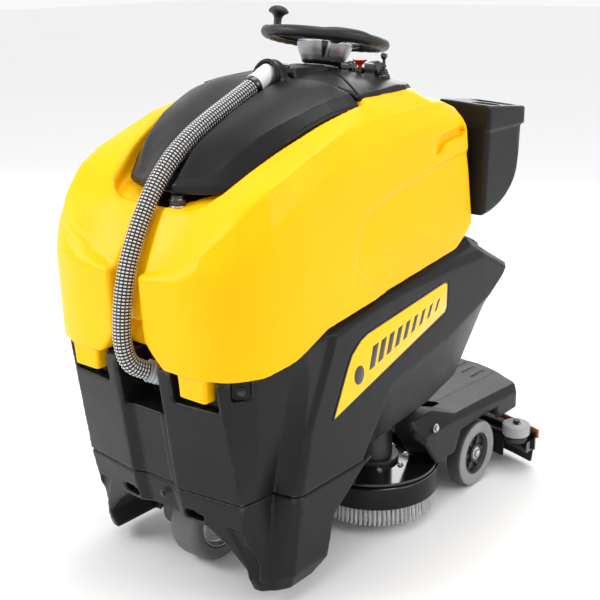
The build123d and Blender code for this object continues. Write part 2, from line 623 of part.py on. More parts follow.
# Pedestal under the steering wheel, with its collar on the leaning column axis.
pedestal_foot = [(y, z + 0.2) for y, z in CONSOLE_TOP[:4]]
column_foot = tilted((0, 75, 1201))
column_head = tilted((0, 75, 1210))
with BuildPart() as steering_pedestal:
    side_prism(pedestal_foot + [(78, 1204), (72, 1206), (22, 1214), (8, 1220), (-60, 1218),
                                (-100, 1222), (-117, 1204), (-117, 1191)], 46)
    rod(column_foot, column_head, 31)
    side_prism([(y, z + 0.2) for y, z in CONSOLE_TOP] + [(118, 1167), (-122, 1167)], 400,
               Mode.SUBTRACT)
save(steering_pedestal, "steering_pedestal")

with BuildPart() as steering_hub:
    hub_foot = Plane(origin=tilted((0, 75, 1211)), z_dir=STEER_PLANE.z_dir)
    hub_head = Plane(origin=tilted((0, 75, 1249)), z_dir=STEER_PLANE.z_dir)
    loft(sections=[disc(hub_foot, 46), disc(hub_head, 73)])
    extrude(disc(hub_head, 73), amount=16)
save(steering_hub, "steering_hub")

# Steering wheel: rim, centre pad and three spokes in the leaning plane.
with BuildPart() as steering_wheel:
    with BuildSketch(Plane(origin=STEER_CENTRE, x_dir=(1, 0, 0), z_dir=(STEER_PLANE.y_dir * -1))):
        with Locations((STEER_RADIUS, 0)):
            Circle(RIM_RADIUS)
    revolve(axis=Axis(STEER_CENTRE, STEER_PLANE.z_dir))
    pad = Plane(origin=tilted((0, 75, 1265.2)), z_dir=STEER_PLANE.z_dir)
    extrude(disc(pad, 50), amount=16)
    for spoke in (90, 210, 330):
        a = math.radians(spoke)
        start = tilted((40 * math.cos(a), 75 + 40 * math.sin(a), 1276))
        end = tilted((146 * math.cos(a), 75 + 146 * math.sin(a), 1277))
        rod(start, end, 10)
save(steering_wheel, "steering_wheel")

KNOB_ANGLE = 188
knob_x = STEER_RADIUS * math.cos(math.radians(KNOB_ANGLE))
knob_y = 75 + STEER_RADIUS * math.sin(math.radians(KNOB_ANGLE))
with BuildPart() as spinner_knob:
    knob_low = Plane(origin=tilted((knob_x, knob_y, 1292.2)), z_dir=STEER_PLANE.z_dir)
    knob_mid = knob_low.offset(29)
    loft(sections=[disc(knob_low, 12), disc(knob_mid, 26)])
    extrude(disc(knob_mid, 26), amount=14)
save(spinner_knob, "spinner_knob")

# Operator's panel behind the console, sloping down to the rear.
PANEL_SLOPE = Plane(origin=(0, 201, 1160), x_dir=(1, 0, 0), z_dir=(0, 76, 102))
# Across the panel, up the slope, radius, height, and how deep each one starts.
PANEL_CONTROLS = {"key_switch": (-85, -14, 12, 12, -0.3), "panel_button_left": (-38, 22, 9, 8, 3.4),
                  "panel_button_right": (38, 22, 9, 8, 3.4)}
with BuildPart() as control_panel:
    side_prism([(118.5, 1141), (118.5, 1206), (150, 1198), (252, 1122), (252, 1101), (225, 1110.5),
                (162, 1136.5)], 132)
    for across, up, radius, height, depth in PANEL_CONTROLS.values():
        if depth > 0:
            spot = Plane(origin=PANEL_SLOPE.from_local_coords((across, up, -7)),
                         z_dir=PANEL_SLOPE.z_dir)
            extrude(disc(spot, radius + 0.7), amount=40, mode=Mode.SUBTRACT)
save(control_panel, "control_panel")

for name, (across, up, radius, height, depth) in PANEL_CONTROLS.items():
    with BuildPart() as control:
        spot = Plane(origin=PANEL_SLOPE.from_local_coords((across, up, -depth)),
                     z_dir=PANEL_SLOPE.z_dir)
        extrude(disc(spot, radius), amount=height)
        if name == "key_switch":
            extrude(outline(spot.offset(height), [(-3, -11), (3, -11), (3, 11), (-3, 11)]),
                    amount=14)
    save(control, name)

# Raised fittings in a row on the console: switch boxes, the emergency stop's cage, lever boot.
CONTROL_Y = 60
DECK_LEVEL = 1206.2
ESTOP_X = 122
LEVER_X = 196
with BuildPart() as switch_housings:
    block((78, CONTROL_Y - 18, DECK_LEVEL), (98, CONTROL_Y + 18, 1222))
    block((150, CONTROL_Y - 18, DECK_LEVEL), (178, CONTROL_Y + 18, 1226))
    with Locations((ESTOP_X, CONTROL_Y, DECK_LEVEL + 3)):
        Cylinder(16, 6)
        Cylinder(6.3, 30, mode=Mode.SUBTRACT)
    with Locations((LEVER_X, CONTROL_Y, DECK_LEVEL + 3)):
        Cylinder(16, 6)
        Cylinder(9, 20, mode=Mode.SUBTRACT)
save(switch_housings, "switch_housings")

with BuildPart() as estop_button:
    rod((ESTOP_X, CONTROL_Y, 1212), (ESTOP_X, CONTROL_Y, 1219), 6)
    rod((ESTOP_X, CONTROL_Y, 1218), (ESTOP_X, CONTROL_Y, 1228), 18)
save(estop_button, "estop_button")

with BuildPart() as drive_lever:
    rod((LEVER_X, CONTROL_Y, 1209), (LEVER_X, CONTROL_Y, 1238), 4)
    with Locations((LEVER_X, CONTROL_Y, 1243)):
        Sphere(10)
save(drive_lever, "drive_lever")

# Storage boxes behind the tank, one each side, with a cup holder in the top.
BOX_SIDE = [(291, 815), (340, 820), (400, 840), (452, 882), (472, 930), (474, 1036), (484, 1040),
            (484, 1077), (291, 1118)]
BOX_INNER_X = 212
BOX_OUTER_X = 373
CUP = (322, 352)
with BuildPart() as storage_boxes:
    for side in SIDES.values():
        x_low, x_high = sorted((side * BOX_INNER_X, side * BOX_OUTER_X))
        extrude(outline(Plane.YZ.offset(x_low), BOX_SIDE), amount=x_high - x_low)
        with Locations((side * CUP[0], CUP[1], 1060)):
            Cylinder(37, 140, mode=Mode.SUBTRACT)
        # Bracket bar from the box to the slanting rear wall of the tank.
        x_low, x_high = sorted((side * 235, side * 305))
        extrude(outline(Plane.YZ.offset(x_low), [(271.6, 880), (291, 880), (291, 1040),
                (247.6, 1040)]), amount=x_high - x_low)
save(storage_boxes, "storage_boxes")

# ---------------------------------------------------------------- hinges
with BuildPart() as tank_hinge:
    block((-214, 246, 712), (214, 278, 722))
    for x0 in (-132, 132):
        block((x0 - 14, 248, 722), (x0 + 14, 276, 762))
    rod((-200, TANK_HINGE_Y, TANK_HINGE_Z), (200, TANK_HINGE_Y, TANK_HINGE_Z), 6)
save(tank_hinge, "tank_hinge")

with BuildPart() as hinge_leaves:
    for x0 in (-172, 172):
        extrude(outline(Plane.YZ.offset(x0 - 14), [(248, 742), (276, 742), (276, 785.4),
                (248, 764.4)]), amount=28)
    rod((-200, TANK_HINGE_Y, TANK_HINGE_Z), (200, TANK_HINGE_Y, TANK_HINGE_Z), 6.06,
        Mode.SUBTRACT)
    rod((-44, LID_HINGE_Y + 0.5, LID_HINGE_Z), (44, LID_HINGE_Y + 0.5, LID_HINGE_Z), 3.2)
    for x0 in (-40, 40):
        block((x0 - 4, -121, 1219.5), (x0 + 4, -112, 1229))
save(hinge_leaves, "hinge_leaves")
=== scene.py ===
import math
import random

import bpy
import numpy as np
import openvdb
from mathutils import Matrix, Vector


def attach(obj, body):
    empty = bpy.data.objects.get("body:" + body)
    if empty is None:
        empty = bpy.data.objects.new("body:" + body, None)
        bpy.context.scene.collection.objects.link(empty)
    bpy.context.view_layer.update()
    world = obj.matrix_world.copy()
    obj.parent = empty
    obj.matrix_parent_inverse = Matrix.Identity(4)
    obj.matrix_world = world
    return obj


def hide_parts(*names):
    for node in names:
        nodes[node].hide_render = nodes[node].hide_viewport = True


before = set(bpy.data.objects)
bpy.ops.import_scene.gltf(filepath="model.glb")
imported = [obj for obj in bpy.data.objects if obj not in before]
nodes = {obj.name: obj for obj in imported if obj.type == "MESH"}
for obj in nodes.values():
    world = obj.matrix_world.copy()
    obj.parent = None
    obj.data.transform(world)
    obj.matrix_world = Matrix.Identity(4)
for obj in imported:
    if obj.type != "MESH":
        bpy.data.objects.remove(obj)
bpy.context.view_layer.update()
MM = 0.001
SIDES = {"left": 1, "right": -1}
Z_AXIS = (0, 0, 1)
GRAIN_DEPTH = 0.0004

# Shapes below are in millimetres in the part's own frame: +X is the machine's left, the front
# faces -Y, +Z is up. place() turns them to metres.


# ------------------------------------------------------------------ materials
def node(tree, kind, **inputs):
    """A shader node. Each input, with _ for a space, is a constant or an output to link from."""
    made = tree.nodes.new("ShaderNode" + kind)
    for name, value in inputs.items():
        socket = made.inputs[name.replace("_", " ")]
        if isinstance(value, bpy.types.NodeSocket):
            tree.links.new(value, socket)
        else:
            socket.default_value = value
    return made


def tinted(tree, share, under, over):
    """The colour under, with the constant colour over it by the share."""
    mixed = tree.nodes.new("ShaderNodeMix")
    mixed.data_type = "RGBA"
    tree.links.new(share, mixed.inputs["Factor"])
    tree.links.new(under, mixed.inputs["A"])
    mixed.inputs["B"].default_value = (*over, 1)
    return mixed.outputs["Result"]


def surface(name, colour, other=None, spread=6.0, rough=0.5, rough_span=0.08, metal=0.0, grain=900.0,
            bump=0.15, coat=0.0, scuff=0.0, shine=0.5, edges=0.0):
    """A plastic, rubber or metal: two tones mixed by a broad noise, uneven roughness and a fine grain."""
    material = bpy.data.materials.new(name)
    material.use_nodes = True
    tree = material.node_tree
    shader = tree.nodes["Principled BSDF"]
    shader.inputs["Metallic"].default_value = metal
    shader.inputs["Specular IOR Level"].default_value = shine
    shader.inputs["Coat Weight"].default_value = coat
    shader.inputs["Coat Roughness"].default_value = 0.12
    where = node(tree, "TexCoord").outputs["Object"]

    def noise(scale, detail):
        return node(tree, "TexNoise", Vector=where, Scale=scale, Detail=detail).outputs["Fac"]

    tones = node(tree, "ValToRGB", Fac=noise(spread, 3.0))
    ends = tones.color_ramp.elements
    ends[0].position, ends[1].position = 0.32, 0.68
    ends[0].color = (*colour, 1)
    ends[1].color = (*(other or [c * 0.9 for c in colour]), 1)
    tone = tones.outputs["Color"]
    if scuff:
        # Faint lighter rubs.
        rub = node(tree, "MapRange", Value=noise(spread * 9, 6.0), From_Min=0.6, From_Max=0.75,
                   To_Max=scuff)
        tone = tinted(tree, rub.outputs["Result"], tone, [min(1, c * 1.5 + 0.05) for c in colour])
    if edges:
        # Painted highlight: paler colour on the moulding's convex edges, standing in for the light that the
        # edges catch.
        edge = node(tree, "NewGeometry").outputs["Pointiness"]
        edge_highlight = node(tree, "MapRange", Value=edge, From_Min=0.53, From_Max=0.62, To_Max=edges)
        tone = tinted(tree, edge_highlight.outputs["Result"], tone, (0.16, 0.16, 0.165))
    tree.links.new(tone, shader.inputs["Base Color"])
    uneven = node(tree, "MapRange", Value=noise(spread * 4, 4.0), To_Min=rough - rough_span,
                  To_Max=rough + rough_span)
    tree.links.new(uneven.outputs["Result"], shader.inputs["Roughness"])
    relief = node(tree, "Bump", Height=noise(grain, 2.0), Strength=bump, Distance=GRAIN_DEPTH)
    tree.links.new(relief.outputs["Normal"], shader.inputs["Normal"])
    return material


YELLOW = surface("yellow_polyethylene", (1.0, 0.54, 0.0), (1.0, 0.5, 0.0), shine=0.14, rough=0.33, grain=420,
                 bump=0.05, spread=3.5, rough_span=0.05)
# BLACK and COVER carry the painted edge highlight through edges=0.7.
BLACK = surface("black_polyethylene", (0.01, 0.01, 0.011), (0.007, 0.007, 0.0075), rough=0.34,
                grain=750, bump=0.35, scuff=0.04, spread=5, shine=0.2, edges=0.7)
COVER = surface("black_cover_plastic", (0.011, 0.011, 0.012), (0.008, 0.008, 0.0085), rough=0.34,
                grain=620, bump=0.5, scuff=0.04, shine=0.22, edges=0.7)
GLOSS = surface("black_gloss_plastic", (0.008, 0.008, 0.009), rough=0.14, grain=300, bump=0.04,
                coat=0.5)
RUBBER = surface("black_rubber", (0.012, 0.012, 0.013), shine=0.4, rough=0.42, grain=500, bump=0.3, scuff=0.1)
STEEL_BLACK = surface("painted_steel", (0.018, 0.018, 0.02), rough=0.38, grain=350, bump=0.15,
                      scuff=0.15)
STEEL = surface("zinc_steel", (0.62, 0.62, 0.63), (0.5, 0.5, 0.52), rough=0.28, metal=1.0,
                grain=260, bump=0.1, spread=25)
CAST = surface("cast_aluminium", (0.5, 0.5, 0.51), (0.4, 0.4, 0.42), rough=0.36, metal=0.9,
               grain=480, bump=0.35, spread=14)
MOTOR = surface("motor_paint", (0.03, 0.031, 0.033), rough=0.42, grain=400, bump=0.2, scuff=0.1)
BATTERY = surface("battery_case", (0.05, 0.052, 0.06), rough=0.5, grain=300, bump=0.15)
TREAD = surface("grey_tread_rubber", (0.06, 0.06, 0.063), (0.045, 0.045, 0.048), rough=0.5,
                grain=380, bump=0.35, scuff=0.25, spread=12)
DRIVE_RUBBER = surface("grey_drive_rubber", (0.115, 0.115, 0.12), (0.09, 0.09, 0.094), rough=0.5,
                       grain=350, bump=0.25, scuff=0.15, spread=12)
SIDEWALL = surface("grey_sidewall_rubber", (0.27, 0.27, 0.275), (0.23, 0.23, 0.235), rough=0.55,
                   grain=450, bump=0.25, scuff=0.1, spread=12)
HUB = surface("black_hub", (0.02, 0.02, 0.021), rough=0.35, grain=400, bump=0.15)
NYLON = surface("grey_nylon", (0.6, 0.6, 0.61), (0.45, 0.45, 0.46), rough=0.45, grain=900, bump=0.2,
                spread=60)
GUM = surface("tan_gum_rubber", (0.42, 0.13, 0.03), (0.33, 0.1, 0.022), rough=0.5, grain=350,
              bump=0.2, spread=20)
ROLLER = surface("grey_roller", (0.4, 0.4, 0.41), (0.33, 0.33, 0.34), rough=0.5, grain=500,
                 bump=0.3, spread=18, scuff=0.1)
CUFF = surface("pale_grey_cuff", (0.8, 0.8, 0.81), (0.72, 0.72, 0.73), rough=0.35, grain=300,
               bump=0.1, spread=20)
GREY_PLASTIC = surface("grey_elbow_plastic", (0.42, 0.43, 0.45), (0.34, 0.35, 0.37), rough=0.3,
                       grain=350, bump=0.15, spread=20)
LABEL_YELLOW = surface("label_film", (1.0, 0.6, 0.0), (1.0, 0.57, 0.0), shine=0.2, rough=0.22, grain=250,
                       bump=0.02, coat=0.4)
LABEL_BLACK = surface("label_ink", (0.012, 0.012, 0.014), rough=0.25, grain=250, bump=0.02,
                      coat=0.3)
RED = surface("red_plastic", (0.62, 0.02, 0.018), (0.5, 0.015, 0.014), rough=0.3, grain=300,
              bump=0.05, coat=0.3, spread=30)


# ------------------------------------------------------------------ meshes
def place(name, vertices, faces, body, materials, replaces=(), indices=None,
          sharp=35.0, normals=None):
    """A finished piece from vertices in mm: it rides on a body and stands for the nodes named."""
    mesh = bpy.data.meshes.new(name)
    mesh.from_pydata(np.asarray(vertices, float) * MM, [], faces)
    for material in materials if isinstance(materials, (list, tuple)) else [materials]:
        mesh.materials.append(material)
    if indices is not None:
        mesh.polygons.foreach_set("material_index", np.asarray(indices, np.int32))
    mesh.update()
    mesh.shade_smooth()
    if normals is None:
        mesh.set_sharp_from_angle(angle=math.radians(sharp))
    else:
        mesh.normals_split_custom_set_from_vertices(normals)
    piece = bpy.data.objects.new(name, mesh)
    bpy.context.scene.collection.objects.link(piece)
    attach(piece, body)
    if replaces:
        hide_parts(*replaces)
    return piece


def turns(count):
    """Angles spread evenly round a circle."""
    return [2 * math.pi * k / count for k in range(count)]


def axes_of(direction):
    """Two unit vectors square to a direction, and the direction itself."""
    w = np.array(direction, float)
    w /= np.linalg.norm(w)
    helper = np.array([0, 0, 1.0]) if abs(w[2]) < 0.9 else np.array([1.0, 0, 0])
    u = np.cross(helper, w)
    u /= np.linalg.norm(u)
    return u, np.cross(w, u), w


def rounded(points, radius, steps=3):
    """An open profile with each inner corner replaced by a short arc."""
    points = [np.array(p, float) for p in points]
    made = [points[0]]
    for a, b, c in zip(points, points[1:], points[2:]):
        into, out = b - a, c - b
        reach = min(radius, np.linalg.norm(into) * 0.45, np.linalg.norm(out) * 0.45)
        start = b - into / (np.linalg.norm(into) + 1e-9) * reach
        end = b + out / (np.linalg.norm(out) + 1e-9) * reach
        for i in range(steps + 1):
            t = i / steps
            made.append((1 - t) ** 2 * start + 2 * t * (1 - t) * b + t * t * end)
    made.append(points[-1])
    return made


def anticlockwise(points):
    """A closed outline, turned round if it runs clockwise."""
    points = np.array(points, float)
    ahead = np.roll(points, -1, 0)
    area = (points[:, 0] * ahead[:, 1] - points[:, 1] * ahead[:, 0]).sum()
    return points[::-1] if area < 0 else points


def mitres(points, least):
    """How far each corner of a closed outline moves when its sides move out by 1."""
    sides = np.roll(points, -1, 0) - points
    outward = np.stack([sides[:, 1], -sides[:, 0]], 1)
    outward /= np.linalg.norm(outward, axis=1)[:, None] + 1e-9
    before = np.roll(outward, 1, 0)
    both = before + outward
    return both / np.maximum((both * before).sum(1), least)[:, None]


def grown(points, by):
    """A closed outline moved out by a distance, or in by a negative one."""
    points = anticlockwise(points)
    return points + mitres(points, 0.45) * by


class Parts:
    """Several shapes gathered into one piece."""

    def __init__(self):
        self.vertices, self.faces, self.indices = [], [], []

    def add(self, vertices, faces, index=0):
        base = len(self.vertices)
        self.vertices += [tuple(v) for v in vertices]
        self.faces += [[base + i for i in f] for f in faces]
        self.indices += [index] * len(faces)

    def lathe(self, profile, origin, direction, segments=64, index=0, bands=None, radial=None):
        """A profile of (radius, height) turned about an axis. bands gives an index by profile run."""
        u, v, w = axes_of(direction)
        origin = np.array(origin, float)
        rings = []
        vertices = []
        for k, (r, h) in enumerate(profile):
            if r < 1e-6:
                rings.append([len(vertices)])
                vertices.append(origin + w * h)
                continue
            ring = []
            for a in turns(segments):
                rr = r * (radial(a, k) if radial else 1.0)
                ring.append(len(vertices))
                vertices.append(origin + w * h + (u * math.cos(a) + v * math.sin(a)) * rr)
            rings.append(ring)
        for k, (a, b) in enumerate(zip(rings, rings[1:])):
            faces = []
            for i in range(segments):
                j = (i + 1) % segments
                if len(a) == 1 and len(b) == 1:
                    continue
                if len(a) == 1:
                    faces.append([a[0], b[j], b[i]])
                elif len(b) == 1:
                    faces.append([a[i], a[j], b[0]])
                else:
                    faces.append([a[i], a[j], b[j], b[i]])
            base = len(self.vertices)
            self.faces += [[base + n for n in f] for f in faces]
            self.indices += [bands[k] if bands else index] * len(faces)
        self.vertices += [tuple(p) for p in vertices]

    def prism(self, outline, origin, u, v, depth, bevel=1.5, index=0):
        """A flat outline raised along u x v, with a bevelled front edge."""
        u, v = np.array(u, float), np.array(v, float)
        w = np.cross(u, v)
        origin = np.array(origin, float)
        outline = anticlockwise(outline)
        m = mitres(outline, 0.3)
        rings = [(outline, 0), (outline, depth - bevel),
                 (outline - m * bevel * 0.3, depth - bevel * 0.3), (outline - m * bevel, depth)]
        count = len(outline)
        vertices, faces = [], []
        for shape, height in rings:
            vertices += [origin + u * x + v * y + w * height for x, y in shape]
        for r in range(len(rings) - 1):
            for i in range(count):
                j = (i + 1) % count
                faces.append([r * count + i, r * count + j, (r + 1) * count + j, (r + 1) * count + i])
        faces.append([3 * count + i for i in range(count)])
        faces.append([i for i in reversed(range(count))])
        self.add(vertices, faces, index)

    def box(self, low, high, bevel=1.5, index=0, turn=None, pivot=(0, 0, 0)):
        """A block with its top edges bevelled."""
        x0, y0, z0 = low
        x1, y1, z1 = high
        start = len(self.vertices)
        self.prism([(x0, y0), (x1, y0), (x1, y1), (x0, y1)], (0, 0, z0), (1, 0, 0), (0, 1, 0),
                   z1 - z0, bevel, index)
        if turn:
            m = Matrix.Rotation(math.radians(turn[0]), 3, turn[1])
            p = Vector(pivot)
            for i in range(start, len(self.vertices)):
                self.vertices[i] = tuple(m @ (Vector(self.vertices[i]) - p) + p)

    def tube(self, path, radius, segments=20, index=0):
        """A round bar along points; radius is a number or one per point."""
        path = [np.array(p, float) for p in path]
        radii = radius if hasattr(radius, "__len__") else [radius] * len(path)
        u, v, _ = axes_of(path[1] - path[0])
        rings, vertices, faces = [], [], []
        for k, p in enumerate(path):
            t = path[min(k + 1, len(path) - 1)] - path[max(k - 1, 0)]
            t /= np.linalg.norm(t)
            u = u - t * np.dot(u, t)
            u /= np.linalg.norm(u)
            v = np.cross(t, u)
            rings.append(len(vertices))
            vertices += [p + (u * math.cos(a) + v * math.sin(a)) * radii[k] for a in turns(segments)]
        for a, b in zip(rings, rings[1:]):
            for i in range(segments):
                j = (i + 1) % segments
                faces.append([a + i, a + j, b + j, b + i])
        faces.append([rings[0] + i for i in reversed(range(segments))])
        faces.append([rings[-1] + i for i in range(segments)])
        self.add(vertices, faces, index)

    def hexagon(self, point, direction, radius, height, index=0, washer=True):
        """A bolt: a washer, then a bevelled hexagon head with a shallow dimple."""
        if washer:
            self.lathe(rounded([(0, 0), (radius * 1.45, 0), (radius * 1.45, 1.6), (0, 1.6)], 0.5, 2),
                       point, direction, 28, index)
        u, v, w = axes_of(direction)
        base = np.array(point, float) + w * (1.6 if washer else 0)
        outline = [(radius * math.cos(math.radians(60 * i)), radius * math.sin(math.radians(60 * i)))
                   for i in range(6)]
        self.prism(outline, base, u, v, height, radius * 0.14, index)
        self.lathe([(radius * 0.5, height + 0.05), (radius * 0.42, height - 0.8), (0, height - 0.8)],
                   base, direction, 20, index)

    def place(self, node_name, body, materials, slot, sharp=35.0, name=None, replaced=True):
        """The piece that stands for a CAD node; one CAD node may have several such pieces."""
        return place(name or f"{node_name}_mesh", self.vertices, self.faces, body, materials,
                     [node_name] if replaced else [], self.indices, sharp)


# ------------------------------------------------------------------ moulded shells
# A shell is worked out as distances on a grid of points over its +X half, negative inside, and
# then turned into one mesh with its mirror image. Rounded joins between faces come from the
# way two distances are combined.
class Space:
    """The grid. step is its spacing; quick is not used."""

    def __init__(self, x, y, z, step, quick):
        self.step = step = step
        self.mirrored = x[0] == 0
        self.x, self.y, self.z = (np.arange(a, b + step, step, dtype=np.float32)
                                  for a, b in (x, y, z))
        self.X = self.x[:, None, None]
        self.Y = self.y[None, :, None]
        self.Z = self.z[None, None, :]

    def side(self, points):
        """Distance to a closed (y, z) profile that runs right across."""
        return polygon(self.Y[0, :, :], self.Z[0, :, :], points)[None]

    def plan(self, points):
        """Distance to a closed (x, y) outline that runs from top to bottom."""
        return polygon(self.X[:, :, 0], self.Y[:, :, 0], points)[:, :, None]

    def front(self, points):
        """Distance to a closed (x, z) profile that runs from front to rear."""
        return polygon(self.X[:, 0, :], self.Z[:, 0, :], points)[:, None, :]

    def loft(self, sections, rounds=0):
        """Distance to outlines that change with height, worked out every few layers."""
        heights = sorted(sections)
        levels = np.arange(self.z[0], self.z[-1] + 16, 16)
        layers = []
        for z in levels:
            zz = min(max(z, heights[0]), heights[-1])
            k = max(i for i, h in enumerate(heights) if h <= zz)
            k = min(k, len(heights) - 2)
            t = (zz - heights[k]) / (heights[k + 1] - heights[k])
            outline = ((1 - t) * np.array(sections[heights[k]], float)
                       + t * np.array(sections[heights[k + 1]], float))
            layers.append(polygon(self.X[:, :, 0], self.Y[:, :, 0], soften(outline, rounds, 60)))
        layers = np.stack(layers, 2)
        at = (self.z - levels[0]) / 16
        k = np.minimum(at.astype(int), len(levels) - 2)
        t = (at - k).astype(np.float32)
        return layers[:, :, k] * (1 - t) + layers[:, :, k + 1] * t

    def below(self, height):
        """Distance under a height field given over the plan."""
        gx, gy = np.gradient(height, self.step)
        return (self.Z - height[:, :, None]) / np.sqrt(1 + gx * gx + gy * gy)[:, :, None]

    def box(self, low, high, r):
        """Distance to a block with its edges rounded to r."""
        q = [np.abs(v - (a + b) / 2) - (b - a) / 2 + r
             for v, a, b in zip((self.X, self.Y, self.Z), low, high)]
        outside = np.sqrt(sum(np.maximum(v, 0) ** 2 for v in q))
        return outside + np.minimum(np.maximum(np.maximum(q[0], q[1]), q[2]), 0) - r

    def rod(self, start, end, radius, r):
        """Distance to a round bar with its end edges rounded to r."""
        start, end = np.array(start, float), np.array(end, float)
        w = end - start
        length = np.linalg.norm(w)
        w /= length
        px, py, pz = self.X - start[0], self.Y - start[1], self.Z - start[2]
        h = px * w[0] + py * w[1] + pz * w[2]
        rr = np.sqrt(np.maximum(px * px + py * py + pz * pz - h * h, 0))
        return join_max(rr - radius, np.abs(h - length / 2) - length / 2, r)

    def mesh(self, node_name, field, body, material, slot, adapt=0.02, name=None):
        """The shell where the field is 0, which stands for a CAD node; adapt widens flat faces."""
        field = np.broadcast_to(field, (len(self.x), len(self.y), len(self.z)))
        low = np.array([self.x[0], self.y[0], self.z[0]], float)
        if self.mirrored:
            field = np.concatenate((field[:0:-1], field))
            low[0] = -self.x[-1]
        clip = 3 * self.step
        field = np.ascontiguousarray(np.clip(field, -clip, clip), np.float32)
        grid = openvdb.FloatGrid(background=clip)
        grid.copyFromArray(field)
        points, triangles, quads = grid.convertToPolygons(0.0, adapt)
        faces = triangles.tolist() + quads.tolist()
        normals = np.stack([sample(field, points + d) - sample(field, points - d)
                            for d in np.eye(3) * 0.8], 1)
        normals /= np.linalg.norm(normals, axis=1)[:, None] + 1e-9
        return place(name or f"{node_name}_shell", points * self.step + low, faces, body, material,
                     [node_name], normals=normals)


def sample(field, points):
    """The field between its grid points."""
    top = np.array(field.shape) - 2
    base = np.clip(np.floor(points).astype(int), 0, top)
    t = np.clip(points - base, 0, 1)
    total = 0
    for corner in range(8):
        bit = [(corner >> k) & 1 for k in range(3)]
        weight = np.prod([t[:, k] if bit[k] else 1 - t[:, k] for k in range(3)], axis=0)
        total = total + weight * field[base[:, 0] + bit[0], base[:, 1] + bit[1], base[:, 2] + bit[2]]
    return total


def to_run(px, py, a, b):
    """Squared distance to the run from a to b, and how far along it the nearest place is."""
    e = (b - a)[:2]
    wx, wy = px - a[0], py - a[1]
    t = np.clip((wx * e[0] + wy * e[1]) / max(float(e @ e), 1e-6), 0, 1)
    return (wx - e[0] * t) ** 2 + (wy - e[1] * t) ** 2, t


def polygon(px, py, points):
    """Distance to a closed polygon, negative inside."""
    px, py = np.broadcast_arrays(px, py)
    best = np.full(px.shape, 1e12, np.float32)
    inside = np.zeros(px.shape, bool)
    points = np.asarray(points, np.float32)
    for a, b in zip(points, np.roll(points, -1, 0)):
        best = np.minimum(best, to_run(px, py, a, b)[0])
        e = b - a
        c = np.stack([py >= a[1], py < b[1], e[0] * (py - a[1]) > e[1] * (px - a[0])])
        inside ^= c.all(0) | ~c.any(0)
    return np.where(inside, -1, 1) * np.sqrt(best)


def polyline(px, py, points):
    """Distance to an open line."""
    points = np.array(points, float)
    return np.sqrt(np.min([to_run(px, py, a, b)[0] for a, b in zip(points, points[1:])], axis=0))


def soften(points, rounds, reach=28):
    """A closed outline with its corners cut, and cut again; no cut is longer than the reach."""
    points = np.asarray(points, float)
    for _ in range(rounds):
        ahead = np.roll(points, -1, 0)
        gap = np.linalg.norm(ahead - points, axis=1)[:, None]
        t = np.minimum(0.25, reach / (gap + 1e-6))
        points = np.stack([points * (1 - t) + ahead * t, points * t + ahead * (1 - t)], 1).reshape(-1, 2)
        reach *= 0.4
    return points


def join_max(a, b, r):
    """What is inside both, with the edge between them rounded to r."""
    if np.isscalar(r) and r <= 0:
        return np.maximum(a, b)
    return (np.minimum(-r, np.maximum(a, b))
            + np.sqrt(np.maximum(a + r, 0) ** 2 + np.maximum(b + r, 0) ** 2))


def join_min(a, b, r):
    """What is inside either, with the inner corner filled to r."""
    return -join_max(-a, -b, r)


def cut(a, b, r):
    """What is inside a and outside b, with the edge between them rounded to r."""
    return join_max(a, -b, r)


def chamfer_max(a, b, c):
    """What is inside both, with the edge between them cut off flat to c."""
    return np.maximum(np.maximum(a, b), (a + b + c) * 0.7071)


def smooth_step(v):
    """0 up to 1 as v goes from 0 to 1, level at both ends."""
    v = np.clip(v, 0, 1)
    return v * v * (3 - 2 * v)


def height_field(space, points):
    """A smooth surface over the plan through the points given, mirrored across x = 0."""
    points = np.array(points, float)
    points = np.concatenate((points, points[points[:, 0] > 1] * (-1, 1, 1)))
    xy, z = points[:, :2] / 100, points[:, 2]

    def kernel(d2):
        return 0.5 * d2 * np.log(d2 + 1e-9)

    n = len(xy)
    d2 = ((xy[:, None] - xy[None]) ** 2).sum(2)
    system = np.zeros((n + 3, n + 3))
    system[:n, :n] = kernel(d2)
    system[:n, n] = system[n, :n] = 1
    system[:n, n + 1:] = xy
    system[n + 1:, :n] = xy.T
    weights = np.linalg.solve(system, np.concatenate((z, np.zeros(3))))
    gx, gy = np.meshgrid(space.x / 100, space.y / 100, indexing="ij")
    total = weights[n] + weights[n + 1] * gx + weights[n + 2] * gy
    for (x, y), w in zip(xy, weights[:n]):
        total = total + w * kernel((gx - x) ** 2 + (gy - y) ** 2)
    return total.astype(np.float32)


def half(points):
    """A half outline carried past the middle, for the +X half of a grid."""
    return [(-250, points[0][1])] + list(points) + [(-250, points[-1][1])]


# Wall thicknesses, then the outlines and lines of the recovery tank.
TANK_WALL = 9
COVER_WALL = 7
PARTING = [(-690, 600), (-549, 600), (-463, 617), (-352, 664), (216, 737)]
LID_OPENING = [(0, -536), (48, -536), (70, -500), (140, -440), (180, -330), (196, -140), (0, -140)]
RIM = [(0, -553), (31, -553), (70, -552), (114, -546), (150, -532), (171, -512), (184, -478),
       (207, -415), (232, -319), (257, -199), (268, -142), (268, -119), (0, -119)]
